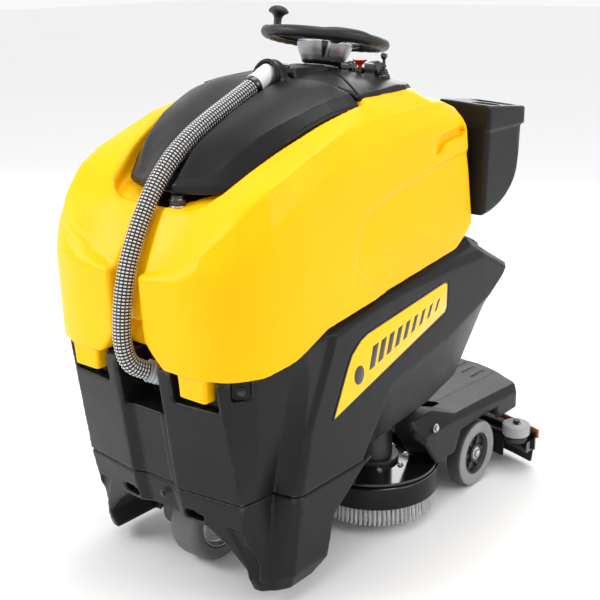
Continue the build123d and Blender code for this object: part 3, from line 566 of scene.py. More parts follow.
# Floor of the recess round the lid, by y.
GUTTER = [(-700, 938), (-560, 944), (-500, 962), (-440, 986), (-396, 1018), (-307, 1080), (-228, 1110),
          (-139, 1138), (-100, 1150)]
TANK_TOP = [
    (0, -559, 962), (31, -559, 962), (70, -557, 958), (114, -554, 956), (157, -551, 962),
    (180, -540, 976), (196, -505, 1002), (212, -415, 1052), (232, -313, 1097), (250, -228, 1128),
    (262, -139, 1156), (266, -40, 1164), (270, 60, 1162), (270, 118, 1155),
    (0, -640, 822), (68, -640, 822), (134, -636, 846), (215, -630, 887), (253, -600, 928),
    (272, -580, 954), (298, -514, 1006), (310, -446, 1038), (312, -345, 1076), (313, -254, 1107),
    (312, -150, 1119), (311, -36, 1125), (310, 51, 1128),
    (306, 150, 1132), (300, 181, 1130), (296, 240, 1118), (0, 160, 1150), (0, 240, 1140),
    (0, -450, 1030), (100, -450, 1028), (0, -300, 1110), (120, -300, 1108), (0, -100, 1176),
    (150, -100, 1176), (0, 60, 1182), (150, 60, 1180),
]
# The soft line where the top turns down, and the crisp one below it where the wall begins:
# x, y, z of the first, then how far out and how far down the second lies.
SHOULDER = [
    (-60, -640, 822, 30, 5), (68, -640, 822, 29, 5), (134, -636, 846, 27, 28), (215, -630, 887, 28, 56),
    (253, -600, 928, 30, 82), (272, -580, 954, 32, 90), (298, -514, 1006, 30, 72),
    (310, -446, 1038, 29, 69), (312, -345, 1076, 28, 68), (313, -254, 1107, 27, 71),
    (312, -150, 1119, 28, 70), (311, -36, 1125, 29, 66), (310, 51, 1128, 30, 60),
    (306, 150, 1132, 34, 64), (296, 320, 1100, 44, 60),
]


def shouldered(space, height, line, blend):
    """The height field with everything beyond a line on it turned down steeply."""
    px, py = np.meshgrid(space.x, space.y, indexing="ij")
    line = np.array(line, float)
    best = np.full(px.shape, 1e12)
    target = np.zeros(px.shape)
    for a, b in zip(line, line[1:]):
        d, t = to_run(px, py, a, b)
        d = np.sqrt(d)
        z, out, down = (a[k] + (b[k] - a[k]) * t for k in (2, 3, 4))
        nearer = d < best
        target = np.where(nearer, z - down * d / out, target)
        best = np.where(nearer, d, best)
    outline = [(-300, line[0][1])] + [p[:2] for p in line] + [(-300, line[-1][1])]
    inside = polygon(px, py, outline)
    share = smooth_step((inside + blend) / (2 * blend))
    return (height * (1 - share) + target * share).astype(np.float32)


def make_recovery_tank():
    s = Space((0, 352), (-684, 300), (534, 1176), 5, 8)
    wall = s.loft({
        603: [(-250, -656), (248, -652), (316, -572), (338, -460), (340, -372), (340, -200),
              (340, 250), (340, 330), (330, 340), (200, 340), (-250, 340)],
        810: [(-250, -670), (246, -658), (322, -572), (341, -450), (341, -360), (341, -200),
              (340, 250), (340, 330), (330, 340), (200, 340), (-250, 340)],
        1176: [(-250, -660), (240, -648), (314, -564), (334, -444), (335, -354), (335, -200),
               (332, 250), (331, 330), (321, 340), (200, 340), (-250, 340)],
    }, rounds=3)
    # The rear half of each side is set in a little behind a sweeping line.
    sweep = [(-262, 800), (-240, 850), (-226, 883), (-208, 912), (-146, 935), (-72, 952), (15, 967),
             (105, 984), (320, 1012), (320, 700), (-150, 690)]
    depth = -polygon(s.Y[0], s.Z[0], sweep)
    fade = smooth_step(depth / 14) * np.exp(-np.maximum(depth - 14, 0) / 110)
    wall = wall + 6.0 * fade[None] * (s.Y > -300)
    top = s.below(shouldered(s, np.minimum(height_field(s, TANK_TOP), 1166), SHOULDER, 9))
    tank = join_max(wall, top, 7)
    rear = [(-900, 400), (200, 400), (214, 739), (287, 791), (242, 1086), (224, 1110), (162, 1136),
            (122, 1140), (108, 1148), (98, 1260), (-900, 1260)]
    tank = join_max(tank, s.side(grown(rear, -18)) - 18, 16)
    parting = [(y, z + 4) for y, z in PARTING]
    tank = join_max(tank, s.side([(-800, 604)] + parting + [(400, 758), (400, 1400), (-800, 1400)]), 6)
    # Channel for the hose, which opens out at its foot.
    width = 37 + 10 * smooth_step((-s.Y - 585) / 80)
    channel = s.side([(-800, 500), (-640, 500), (-638, 740), (-612, 828), (-574, 911), (-518, 985),
                      (-450, 1036), (-450, 1300), (-800, 1300)])
    tank = cut(tank, join_max(s.X - width, channel, 8), 11)
    foot = s.front([(-50, 500), (112, 500), (104, 604), (72, 636), (50, 664), (40, 700), (-50, 700)])
    tank = cut(tank, join_max(foot, s.Y + 560, 8), 8)
    # Recess for the lid, with a well rounded brim, and the mouth in its floor.
    floor = s.side([(-900, 925)] + GUTTER[1:] + [(-119, 1500), (-900, 1500)])
    brim = 8 + 9 * smooth_step((-s.Y - 380) / 120)
    tank = cut(tank, join_max(s.plan(half(RIM)), floor, 10), brim)
    # Grip under the top rear edge of each side.
    grip = s.side([(96, 1004), (98, 1030), (120, 1050), (225, 1062), (238, 1050), (222, 1038),
                   (140, 1030), (116, 1008)])
    tank = cut(tank, join_max(grip, -17 - tank, 6), 4)
    mouth = s.plan(soften(half(LID_OPENING), 1))
    tank = cut(np.maximum(tank, -(tank + TANK_WALL)), join_max(mouth, 905 - s.Z, 2), 4)
    # Feet.
    prong = join_max(s.side([(-645, 700), (-637, 545), (-598, 545), (-598, 700)]),
                     np.abs(s.X - 178) - 47 + (640 - s.Z) * 0.06, 8)
    tank = join_min(tank, np.maximum(prong, s.Z - 640), 6)
    s.mesh("recovery_tank", tank, "recovery_tank", YELLOW, "recovery_tank", adapt=0.03)


# Solution tank and front skirt: plan outlines at the bottom and the top, then lines on the sides.
BODY_FOOT = [(-250, -584), (46, -586), (76, -600), (262, -576), (268, -530), (271, -478), (325, -470),
             (337, -452), (337, 560), (-250, 560)]
BODY_HEAD = [(-250, -638), (46, -640), (74, -656), (242, -644), (308, -562), (337, -457), (338, -372),
             (340, -350), (340, 560), (-250, 560)]
CREASE = [(-223, 284), (-166, 362), (-108, 448), (-92, 460), (-60, 468), (163, 508), (385, 573),
          (497, 637)]
LOWER_EDGE = [(-168, 284), (-162, 292), (120, 322), (262, 360), (300, 404), (497, 637)]
# Outline of the side label, as (y, z).
LABEL = [(-332, 442), (-280, 549), (-262, 580), (-228, 606), (-200, 616), (140, 662), (152, 656),
         (150, 596), (144, 584)]


def make_solution_tank():
    s = Space((0, 352), (-676, 512), (276, 768), 4, 7)
    body = s.loft({284: BODY_FOOT, 700: BODY_HEAD, 760: BODY_HEAD})
    # Lower rear facet of each side, which leans in to the lower edge.
    facet = polygon(s.Y[0], s.Z[0], CREASE + LOWER_EDGE[::-1]) < 0
    to_crease = polyline(s.Y[0], s.Z[0], CREASE)
    to_edge = polyline(s.Y[0], s.Z[0], LOWER_EDGE)
    lean = np.where(facet, to_crease / (to_crease + to_edge + 0.1), 0)
    lean = np.where(polygon(s.Y[0], s.Z[0], [(-168, 200)] + LOWER_EDGE + [(497, 200)]) < 0, 1, lean)
    body = np.maximum(body, s.X - (340 - 34 * lean[None]))
    # The side panel stands a little proud, with a bevel along its front and top.
    panel = polygon(s.Y[0], s.Z[0], [(-489, 270), (-334, 604), (-322, 640), (-192, 667), (-97, 679),
                                     (195, 691), (342, 690), (497, 634), (620, 560), (620, 200)])
    body = np.maximum(body, s.X - (340 - 10 * np.clip(panel / 20, 0, 1))[None])
    profile = s.side(PARTING + [(288, 753), (497, 637), (300, 404), (262, 360), (120, 322),
                                (-162, 292), (-168, 285), (-690, 285)])
    edge = 3 + 15 * smooth_step((s.Y + 400) / 60) * smooth_step((s.Z - 560) / 60)
    body = chamfer_max(body, profile, edge)
    # Middle pocket for the hose elbow, and the notches for the tank's feet.
    body = cut(body, join_max(s.X - 68, join_max(s.Y + 522, 474 - s.Z, 6), 6), 4)
    notch = join_max(np.abs(s.X - 173) - 65, join_max(s.Y + 592, 524 - s.Z, 8), 8)
    body = cut(body, notch, 5)
    # Bolt pocket in each front corner.
    along = (s.X - 287) * 0.78 + (s.Y + 598) * 0.62
    out = (s.X - 287) * 0.62 - (s.Y + 598) * 0.78
    pocket = join_max(join_max(np.abs(along) - 22, np.abs(s.Z - 576) - 26, 9), -34 - out, 3)
    body = cut(body, pocket, 4)
    body = np.maximum(body, -(body + TANK_WALL))
    body = cut(body, s.box((-300, -440, 560), (250, 205, 900), 12), 4)
    body = cut(body, s.box((-300, 222, 724), (215, 300, 900), 3), 2)
    # The label's shallow bed.
    bed = s.side(grown(LABEL, 7))
    body = cut(body, join_max(bed, 338.2 - s.X, 0), 1)
    s.mesh("solution_tank", body, "root", BLACK, "black_body", adapt=0.03)


SKIRT_ARCH = [(-250, -20), (-250, 100), (-190, 152), (-140, 190), (-38, 196), (38, 196), (140, 190),
              (190, 152), (238, 100), (238, -20)]


def make_front_skirt():
    s = Space((0, 348), (-612, -142), (30, 290), 4, 7)
    head = BODY_FOOT[:-2] + [(337, -100), (-250, -100)]
    foot = [(-250, -530), (46, -532), (76, -541), (238, -536), (269, -532), (284, -516), (297, -505),
            (319, -470), (319, -100), (-250, -100)]
    skirt = s.loft({37: foot, 283.5: head})
    skirt = skirt + np.maximum(76 - s.Z, 0) * 0.32
    profile = [(-700, 283.5), (-166, 283.5), (-206, 268), (-318, 180), (-336, 70), (-352, 55),
               (-384, 37), (-700, 37)]
    skirt = chamfer_max(skirt, s.side(profile), 4)
    skirt = chamfer_max(skirt, -join_max(s.front(SKIRT_ARCH), s.Y + 390, 0), 6)
    inner_head = [(-250, -572), (250, -564), (254, -470), (322, -450), (326, 0), (-250, 0)]
    inner_foot = [(-250, -518), (246, -518), (262, -500), (300, -455), (306, 0), (-250, 0)]
    hole = np.minimum(s.loft({37: inner_foot, 284: inner_head}), 400)
    hole = np.maximum(hole, np.where((s.Z < 60) & (s.X > 222), 10, -400))
    # The inner face of each leg, beside the arch.
    arch = s.front(SKIRT_ARCH)
    hole = np.maximum(hole, np.minimum(np.minimum(11 - arch, -388 - s.Y), s.X - 150))
    slot = np.sqrt(np.maximum(np.abs(s.X - 108) - 15, 0) ** 2 + (s.Z - 217) ** 2) - 12.5
    slot = join_max(slot, s.Y + 500, 0)
    # Triangular hollow beside the arch on each leg.
    hollow = s.front([(228, 160), (256, 96), (258, 62), (270, 66), (268, 120), (244, 212), (200, 216)])
    skirt = skirt + 6 * smooth_step(-hollow / 6) * (s.Y < -500)
    skirt = cut(skirt, slot, 4)
    skirt = cut(skirt, hole, 1)
    s.mesh("front_skirt", skirt, "root", BLACK, "black_body", adapt=0.03)


# Lid: its plan, points on its top, its crest, and the floor of the hose's channel by y.
LID_PLAN = [(0, -535), (44, -535), (118, -504), (164, -477), (184, -430), (222, -320), (250, -200),
            (262, -142), (262, -126), (0, -126)]
LID_TOP = [
    (0, -512, 1018), (44, -512, 1014), (84, -497, 1012), (120, -474, 1026), (140, -450, 1050),
    (155, -424, 1072), (172, -375, 1102), (188, -331, 1122), (202, -277, 1140), (218, -206, 1161),
    (228, -150, 1170), (236, -90, 1174), (44, -470, 1060), (44, -380, 1114), (44, -290, 1154),
    (44, -200, 1184), (44, -126, 1198), (0, -126, 1200), (0, -300, 1152), (0, -440, 1082),
    (92, -446, 1068), (104, -410, 1094), (120, -350, 1128), (136, -290, 1153), (150, -200, 1183),
    (158, -126, 1194),
]
# Crest between the lid's top and its steep side: x, y, z, then how far out and down the side goes.
LID_CREST = [
    (-60, -512, 1018, 18, 14), (44, -512, 1014, 18, 14), (84, -497, 1012, 18, 14),
    (120, -474, 1026, 22, 24), (140, -450, 1050, 25, 42), (155, -424, 1072, 28, 48),
    (172, -375, 1102, 30, 46), (188, -331, 1122, 31, 38), (202, -277, 1140, 31, 30),
    (218, -206, 1161, 32, 28), (228, -150, 1170, 32, 26), (236, -90, 1174, 32, 26),
]
CHANNEL_FLOOR = [(-640, 930), (-540, 962), (-478, 1027), (-385, 1081), (-290, 1120), (-206, 1156),
                 (-150, 1183)]


def make_lid():
    s = Space((0, 270), (-546, -116), (970, 1252), 3.5, 6)
    top = s.below(shouldered(s, height_field(s, LID_TOP), LID_CREST, 4))
    plan = s.plan(soften(half(LID_PLAN), 1))
    lid = join_max(plan, top, 3)
    dome = join_max(s.rod((0, -156, 1198), (0, -110, 1200), 42, 8), -(s.Z - 1150), 4)
    lid = join_min(lid, join_max(dome, s.Y + 126.5, 1), 12)
    trough = s.side(CHANNEL_FLOOR + [(-150, 1216), (-182, 1400), (-640, 1400)])
    lid = cut(lid, join_max(s.X - 34, trough, 14), 8)
    lid = cut(lid, s.rod((0, -240, 1170), (0, -142, 1215), 29, 2), 3)
    bottom = s.side([(-900, 976), (-535, 976), (-500, 978), (-466, 986), (-396, 1026), (-307, 1086),
                     (-237, 1116), (-126.5, 1138), (-126.5, 1400), (-900, 1400)])
    shell = np.maximum(join_max(lid, bottom, 3), -(lid + COVER_WALL))
    s.mesh("lid", shell, "lid", COVER, "black_cover")


CONSOLE_PLAN = [(0, -121.5), (258, -121.5), (266, -60), (262, 60), (240, 118), (0, 118)]


def console_height(y, x):
    """Height of the console's top, crowned across."""
    crown = np.interp(y, [-122, -60, 30, 88, 118], [1196, 1204, 1208, 1202, 1188])
    return crown - 28 * np.abs(x / 262) ** 2.4


def make_console():
    s = Space((0, 274), (-128, 126), (1150, 1226), 2, 5)
    height = console_height(s.y[None, :], s.x[:, None]).astype(np.float32)
    console = join_max(s.plan(grown(half(CONSOLE_PLAN), -9)) - 9, s.below(height), 5)
    console = join_max(console, 1153 - s.Z, 3)
    # Joint line that runs forward and out from the pedestal.
    joint = polyline(s.X[:, :, 0], s.Y[:, :, 0], [(44, 24), (150, -52), (246, -121)])
    console = cut(console, np.maximum(joint[:, :, None] - 2.2, height[:, :, None] - 5 - s.Z), 1.5)
    s.mesh("console", console, "recovery_tank", COVER, "black_cover")
    s = Space((0, 84), (-128, 110), (1184, 1234), 2, 4)
    profile = [(-117, 1180), (-117, 1206), (-98, 1221), (-60, 1218), (6, 1220), (24, 1213),
               (74, 1205), (80, 1180)]
    flare = 46 + np.maximum(1216 - s.Z, 0) ** 1.3 * 0.28
    pedestal = join_max(s.side(soften(profile, 1)), s.X - flare, 6)
    collar = s.rod((0, 57, 1190), (0, 60.5, 1208), 33, 2)
    pedestal = join_min(pedestal, collar, 6)
    height = console_height(s.y[None, :], s.x[:, None]).astype(np.float32)
    pedestal = np.maximum(pedestal, -(s.Z - height[:, :, None]) - 3)
    s.mesh("steering_pedestal", pedestal, "recovery_tank", COVER, "black_cover")


def make_storage_boxes():
    s = Space((206, 380), (240, 492), (806, 1128), 3.5, 6)
    lower = soften([(296, 815), (340, 820), (400, 840), (452, 882), (472, 930), (474, 1096),
                    (291, 1096), (291, 815)], 1)
    outer = 366 - 0.02 * (1060 - s.Z)
    box = join_max(s.side(lower), np.maximum(s.X - outer, 214 - s.X), 12)
    lip = join_max(s.side([(291, 1040), (484, 1040), (484, 1140), (291, 1140)]),
                   np.maximum(s.X - 369, 212 - s.X), 7)
    top_slope = s.Z - 1108 + (s.Y - 291) * 0.104 - (369 - s.X) * 0.06
    box = join_max(join_min(box, lip, 5), top_slope, 6)
    cup = np.sqrt((s.X - 322) ** 2 + (s.Y - 352) ** 2) - 37
    box = cut(box, join_max(cup, 1010 - s.Z, 8), 4)
    # Shallow tray beside the cup holder.
    tray = join_max(np.abs(s.X - 292) - 58, np.abs(s.Y - 436) - 26, 12)
    box = cut(box, join_max(tray, 1052 - s.Z, 6), 4)
    bar = s.box((235, 246, 880), (305, 296, 1040), 4)
    bar = np.maximum(bar, -(s.Y - 271.6 + (s.Z - 880) * 0.15))
    box = join_min(box, bar, 4)
    mesh_both(s, "storage_box", box, "recovery_tank", BLACK, "black_cover", "storage_boxes")


def mesh_both(space, name, field, body, material, slot, node_name):
    """The same shell on the left and, mirrored, on the right."""
    space.mirrored = False
    left = space.mesh(node_name, field, body, material, slot, name=f"{name}_left")
    mesh = left.data
    points = np.array([v.co for v in mesh.vertices]) * (-1, 1, 1) / MM
    faces = [list(p.vertices)[::-1] for p in mesh.polygons]
    normals = np.zeros((len(points), 3))
    index = np.array([corner.vertex_index for corner in mesh.loops])
    normals[index] = np.array([n.vector for n in mesh.corner_normals])
    place(f"{name}_right", points, faces, body, material, [node_name], normals=normals * (-1, 1, 1))


# Plan of the operator's platform.
PLATFORM = [(0, 262), (252, 262), (252, 40), (345, 40), (345, 560), (318, 588), (288, 603), (229, 640),
            (156, 664), (80, 670), (0, 670)]


def make_platform():
    s = Space((0, 356), (24, 684), (142, 300), 3.5, 6)
    plan = s.plan([(-250, 262)] + PLATFORM[1:-1] + [(-250, 670)])
    profile = s.side([(40, 292), (146, 292), (226, 262), (560, 242), (680, 238), (680, 190),
                      (560, 168), (452, 168), (438, 206), (342, 208), (246, 206), (215, 150),
                      (120, 150), (40, 250)])
    deck = chamfer_max(plan, profile, 5)
    # The fender's outer top edge is a broad flat, and its front a second one.
    ridge = (s.X - 345) + (s.Z - 292) * 0.8 + 34 + np.maximum(s.Y - 180, 0) * 0.06
    deck = np.maximum(deck, ridge * 0.75)
    nose = (s.X - 345) * 0.8 - (s.Y - 40) + 22
    deck = np.maximum(deck, nose * 0.7)
    # The middle tread is a little lower than the fenders.
    tread = join_max(s.X - 236, join_max(268 - s.Y, s.Y - 640, 12), 14)
    deck = cut(deck, join_max(tread, 246 - s.Z - (s.Y - 262) * 0.02, 4), 4)
    for x0, y0 in ((118, 600), (158, 592), (198, 578)):
        bar = join_max(np.abs(s.X - x0) - 4, np.abs(s.Y - y0) - 36, 3)
        deck = cut(deck, join_max(bar, 236 - s.Z, 1), 2)
    deck = cut(deck, s.box((-300, 240, 100), (252, 655, 222), 4), 2)
    deck = cut(deck, s.box((240, 250, 100), (335, 590, 226), 4), 2)
    deck = cut(deck, s.box((262, 90, 100), (335, 300, 240), 4), 2)
    arch = np.sqrt((s.Y - 342) ** 2 + (s.Z - 98) ** 2) - 112
    deck = cut(deck, join_max(arch, 240 - s.X, 0), 4)
    s.mesh("rear_platform", deck, "root", BLACK, "black_body", name="platform_shell")


# ------------------------------------------------------------------ side labels


def make_labels():
    for name, side in SIDES.items():
        parts = Parts()

        def layer(outline, x, thick, index):
            outline = [(side * y, z) for y, z in outline]
            parts.prism(outline, (side * x, 0, 0), (0, side, 0), Z_AXIS, thick, 0.3, index)

        layer(grown(LABEL, 4.5), 338.4, 1.5, 1)
        layer(LABEL, 339.9, 0.8, 0)
        # Slanting bars, in place of any lettering.
        for k in range(9):
            y0 = -196 + k * 36
            base = np.interp(y0, [-200, 140], [520, 606])
            high = 58 - k * 3.5
            wide = 24 - k * 1.4
            layer([(y0, base), (y0 + wide, base + 5), (y0 + wide + 16, base + high + 5),
                   (y0 + 16, base + high)], 340.6, 0.4, 1)
        ring = [(-236 + 20 * math.cos(a), 522 + 24 * math.sin(a))
                for a in np.linspace(0, 2 * math.pi, 40, endpoint=False)]
        layer(ring, 340.6, 0.4, 1)
        parts.place("side_labels", "root", [LABEL_YELLOW, LABEL_BLACK], "label",
                    name=f"side_label_{name}")


# ------------------------------------------------------------------ wheels
REAR_WHEEL = np.array((294, 342, 98))
DRIVE_WHEEL = np.array((-48, -413, 111))
BRUSH = np.array((181, 52))


def make_rear_wheels():
    for name, side in SIDES.items():
        centre, axis = REAR_WHEEL * (side, 1, 1), (side, 0, 0)
        tyre = Parts()
        profile = rounded([(62, 2), (70, 0), (90, 0), (98, 7), (98, 43), (91, 50), (70, 50), (66, 47),
                           (62, 47), (62, 2)], 5, 4)
        bands = [1 if (h > 46 or h < 4) and r < 95 else 0 for r, h in profile]
        tyre.lathe(profile, centre, axis, 96, bands=bands)
        tyre.place(f"rear_tyre_{name}", f"rear_wheel_{name}", [TREAD, SIDEWALL], "tyre")
        hub = Parts()
        profile = rounded([(10.2, 0), (61.8, 0), (61.8, 44), (57, 46), (54, 40), (50, 30), (30, 28),
                           (27, 34), (27, 44), (10.2, 44), (10.2, 0)], 1.6, 3)
        hub.lathe(profile, centre, axis, 72)
        u, v, w = axes_of(axis)
        for a in turns(6):
            # Raised spokes between pockets.
            r1 = u * math.cos(a) + v * math.sin(a)
            r2 = np.cross(w, r1)
            outline = [(24, -6), (52, -9), (52, 9), (24, 6)]
            hub.prism(outline, centre + w * 26, r1, r2, 12, 1.5)
        hub.lathe(rounded([(40, 29), (40, 33), (36, 33), (36, 29)], 1, 2), centre, axis, 64)
        hub.place(f"rear_hub_{name}", f"rear_wheel_{name}", HUB, "wheel_hub")


def make_drive_wheel():
    centre, axis = DRIVE_WHEEL, (1, 0, 0)
    tyre = Parts()
    profile = rounded([(74, 2), (82, 0), (98, 0), (108, 9), (111, 22), (111, 74), (108, 87), (98, 96),
                       (80, 96), (74, 92), (74, 2)], 7, 4)
    tyre.lathe(profile, centre, axis, 112)
    tyre.place("drive_tyre", "drive_wheel", DRIVE_RUBBER, "tyre")
    hub = Parts()
    profile = rounded([(20.2, 0), (73.8, 0), (73.8, 90), (70, 92), (66, 86), (64, 78), (58, 76),
                       (54, 80), (50, 80), (46, 74), (38, 74), (35, 80), (32, 88), (20.2, 88),
                       (20.2, 0)], 1.8, 3)
    hub.lathe(profile, centre, axis, 96)
    for a in turns(5):
        hub.hexagon(centre + (75, 27 * math.cos(a), 27 * math.sin(a)), axis, 5, 5)
    hub.place("drive_hub", "drive_wheel", CAST, "cast_hub")


# ------------------------------------------------------------------ brushes
def make_brushes():
    dice = random.Random(7)
    for name, side in SIDES.items():
        cx, cy = BRUSH * (side, 1)
        cup = Parts()
        profile = rounded([(12.2, 138), (30, 139), (34, 141), (60, 141), (62, 138), (150, 137),
                           (160, 139), (171, 141), (178, 137), (178, 79), (175, 77), (168, 77),
                           (166, 96), (92, 98), (90, 110), (12.2, 110), (12.2, 138)], 3, 3)
        bands = [0 if h > 136 and r < 176 else 1 for r, h in profile]
        cup.lathe(profile, (cx, cy, 0), Z_AXIS, 128, bands=bands)
        for a in turns(12):
            cup.lathe(rounded([(0, 137), (7, 137), (7, 140), (5, 141), (0, 141)], 0.8, 2),
                      (cx + 112 * math.cos(a), cy + 112 * math.sin(a), 0), Z_AXIS, 18, index=0)
        cup.place(f"brush_{name}", f"brush_{name}", [GLOSS, BLACK], "brush", name=f"brush_cup_{name}")
        tufts = Parts()
        for radius, count in ((163, 84), (148, 76), (133, 64), (118, 52), (104, 44)):
            for k in range(count):
                a = 2 * math.pi * (k + 0.5 * (radius % 2)) / count
                lean = 0.06 + 0.04 * dice.random()
                for f in range(5):
                    b = 2 * math.pi * f / 5 + dice.random()
                    ox, oy = 1.8 * math.cos(b), 1.8 * math.sin(b)
                    spread = 1.0 + 0.6 * dice.random()
                    low = 29 + 2.2 * dice.random() + (2.0 if dice.random() < 0.1 else 0)
                    x0, y0 = radius * math.cos(a) + ox, radius * math.sin(a) + oy
                    x1 = radius * math.cos(a) * (1 + lean * 0.5) + ox * spread
                    y1 = radius * math.sin(a) * (1 + lean * 0.5) + oy * spread
                    points = [(cx + x0, cy + y0, 98), (cx + (x0 + x1) / 2 + 0.4 * ox,
                              cy + (y0 + y1) / 2 + 0.4 * oy, 62), (cx + x1, cy + y1, low)]
                    tufts.tube(points, [1.5, 1.35, 1.0], 4)
        tufts.place(f"brush_{name}", f"brush_{name}", NYLON, "brush", name=f"brush_bristles_{name}")


# ------------------------------------------------------------------ hose
HOSE_ROUTE = [(0, -206, 1186), (0, -290, 1151), (0, -385, 1113), (0, -478, 1063), (0, -552, 993),
              (0, -606, 911), (0, -646, 828), (0, -668, 740), (1, -676, 660), (5, -667, 612),
              (13, -648, 590), (25, -625, 580)]
HOSE_RADIUS = 22.0
HOSE_PITCH = 7.6
HOSE_STRIPS = 14


def hose_material():
    """Pale bands over a black tube as painted highlights: on the ribs along its length, broken up round its
    girth.
    """
    material = surface("ribbed_hose", (0.01, 0.01, 0.011), rough=0.35, grain=500, bump=0.1)
    tree = material.node_tree
    uv = node(tree, "UVMap")
    uv.uv_map = "along"
    along = node(tree, "SeparateXYZ", Vector=uv.outputs["UV"])

    def wave(source, low, high):
        """1 in the middle of each unit of the source, 0 at its ends."""
        fold = node(tree, "Math")
        fold.operation = "PINGPONG"
        fold.inputs[1].default_value = 0.5
        tree.links.new(source, fold.inputs[0])
        level = node(tree, "MapRange", Value=fold.outputs[0], From_Min=low, From_Max=high)
        return level.outputs["Result"]

    # Painted highlights: pale dashes on each rib, repeated round the girth.
    both = node(tree, "Math")
    both.operation = "MULTIPLY"
    tree.links.new(wave(along.outputs["Y"], 0.22, 0.3), both.inputs[0])
    tree.links.new(wave(along.outputs["X"], 0.12, 0.2), both.inputs[1])
    base = tree.nodes["Principled BSDF"].inputs["Base Color"]
    tree.links.new(tinted(tree, both.outputs[0], base.links[0].from_socket, (0.72, 0.71, 0.7)), base)
    return material


def make_hose():
    curve = bpy.data.curves.new("hose_line", "CURVE")
    curve.dimensions = "3D"
    curve.resolution_u = 24
    spline = curve.splines.new("NURBS")
    spline.points.add(len(HOSE_ROUTE) - 1)
    for point, (x, y, z) in zip(spline.points, HOSE_ROUTE):
        point.co = (x * MM, y * MM, z * MM, 1)
    spline.order_u = 3
    spline.use_endpoint_u = True
    holder = bpy.data.objects.new("hose_line", curve)
    bpy.context.scene.collection.objects.link(holder)
    bpy.context.view_layer.update()
    line = bpy.data.meshes.new_from_object(holder)
    path = np.array([v.co for v in line.vertices])
    bpy.data.objects.remove(holder)
    bpy.data.meshes.remove(line)
    gaps = np.linalg.norm(np.diff(path, axis=0), axis=1)
    reach = np.concatenate(([0], np.cumsum(gaps))) / MM
    length = reach[-1]
    count = int(length / HOSE_PITCH) * 8
    stations = np.linspace(0, length, count + 1)
    points = np.stack([np.interp(stations, reach, path[:, k]) for k in range(3)], 1) / MM
    radii = HOSE_RADIUS - 1.5 + 1.5 * np.sin(2 * math.pi * stations / HOSE_PITCH)
    parts = Parts()
    segments = 48
    parts.tube(points, radii, segments)
    hose = parts.place("recovery_hose", "lid", hose_material(), "hose", sharp=80)
    layer = hose.data.uv_layers.new(name="along")
    loop = 0
    for k, face in enumerate(parts.faces):
        ring, i = divmod(k, segments)
        if ring < count:
            corners = [(i, ring), (i + 1, ring), (i + 1, ring + 1), (i, ring + 1)]
        else:
            corners = [(0, 0)] * len(face)
        for a, b in corners:
            layer.data[loop].uv = (a * HOSE_STRIPS / segments, stations[b] / HOSE_PITCH + 0.25)
            loop += 1
    # Cuff at the lid, with a black collar on the hose.
    cuff = Parts()
    start = np.array((0, -205.6, 1186.2))
    axis = np.array((0, -149, 1209.8)) - start
    cuff.lathe(rounded([(22.2, 0), (25.5, 0), (25.8, 6), (24.4, 8), (24.4, 30), (25.6, 34), (25.6, 60),
                        (20, 60), (20, 2), (22.2, 0)], 1.2, 3), start, axis, 64)
    collar = rounded([(22.1, -14), (24.6, -13), (24.9, -3), (24.9, 1.5), (23, 1.5), (22.1, -14)], 1, 2)
    cuff.lathe(collar, start, axis, 64, index=1)
    cuff_piece = cuff.place("hose_cuff", "lid", [CUFF, GLOSS], "cuff")
    # Elbow at the lower end: a ribbed grey cuff, then the bend into the tank.
    elbow = Parts()
    p0, p1, p2 = (np.array(p, float) for p in ((25.3, -624.5, 579.8), (42.6, -591.4, 565.4),
                                               (100, -558, 528)))
    bend = [(1 - t) ** 2 * p0 + 2 * t * (1 - t) * p1 + t * t * p2 for t in np.linspace(0, 1, 25)]
    radius = [26.8 if k < 9 and k % 3 != 2 else 25.2 if k < 9 else 24.6 for k in range(25)]
    elbow.tube(bend, radius, 48)
    elbow.place("hose_elbow", "root", GREY_PLASTIC, "elbow", sharp=50)
    # Hooded ring round the port.
    ring = Parts()
    profile = rounded([(30, 0), (39, 0), (41, 4), (41, 12), (38, 16), (34, 17), (31, 15), (30, 0)],
                      2, 3)
    ring.lathe(profile, (0, -154, 1202), (0, -1, 0.3), 72)
    ring.place("hose_port_ring", "lid", BLACK, "black_cover", name="port_ring_mesh")


# ------------------------------------------------------------------ steering
TILT = math.radians(11.5)
CENTRE = np.array((0, 75, 1277.0))
UP = np.array((0, math.sin(TILT), math.cos(TILT)))
BACK = np.array((0, math.cos(TILT), -math.sin(TILT)))
LEFT = np.array((1.0, 0, 0))


def on_wheel(radius, angle, height=0.0):
    """A place on the steering wheel, from its centre, in its own leaning plane."""
    return CENTRE + (LEFT * math.cos(angle) + BACK * math.sin(angle)) * radius + UP * height


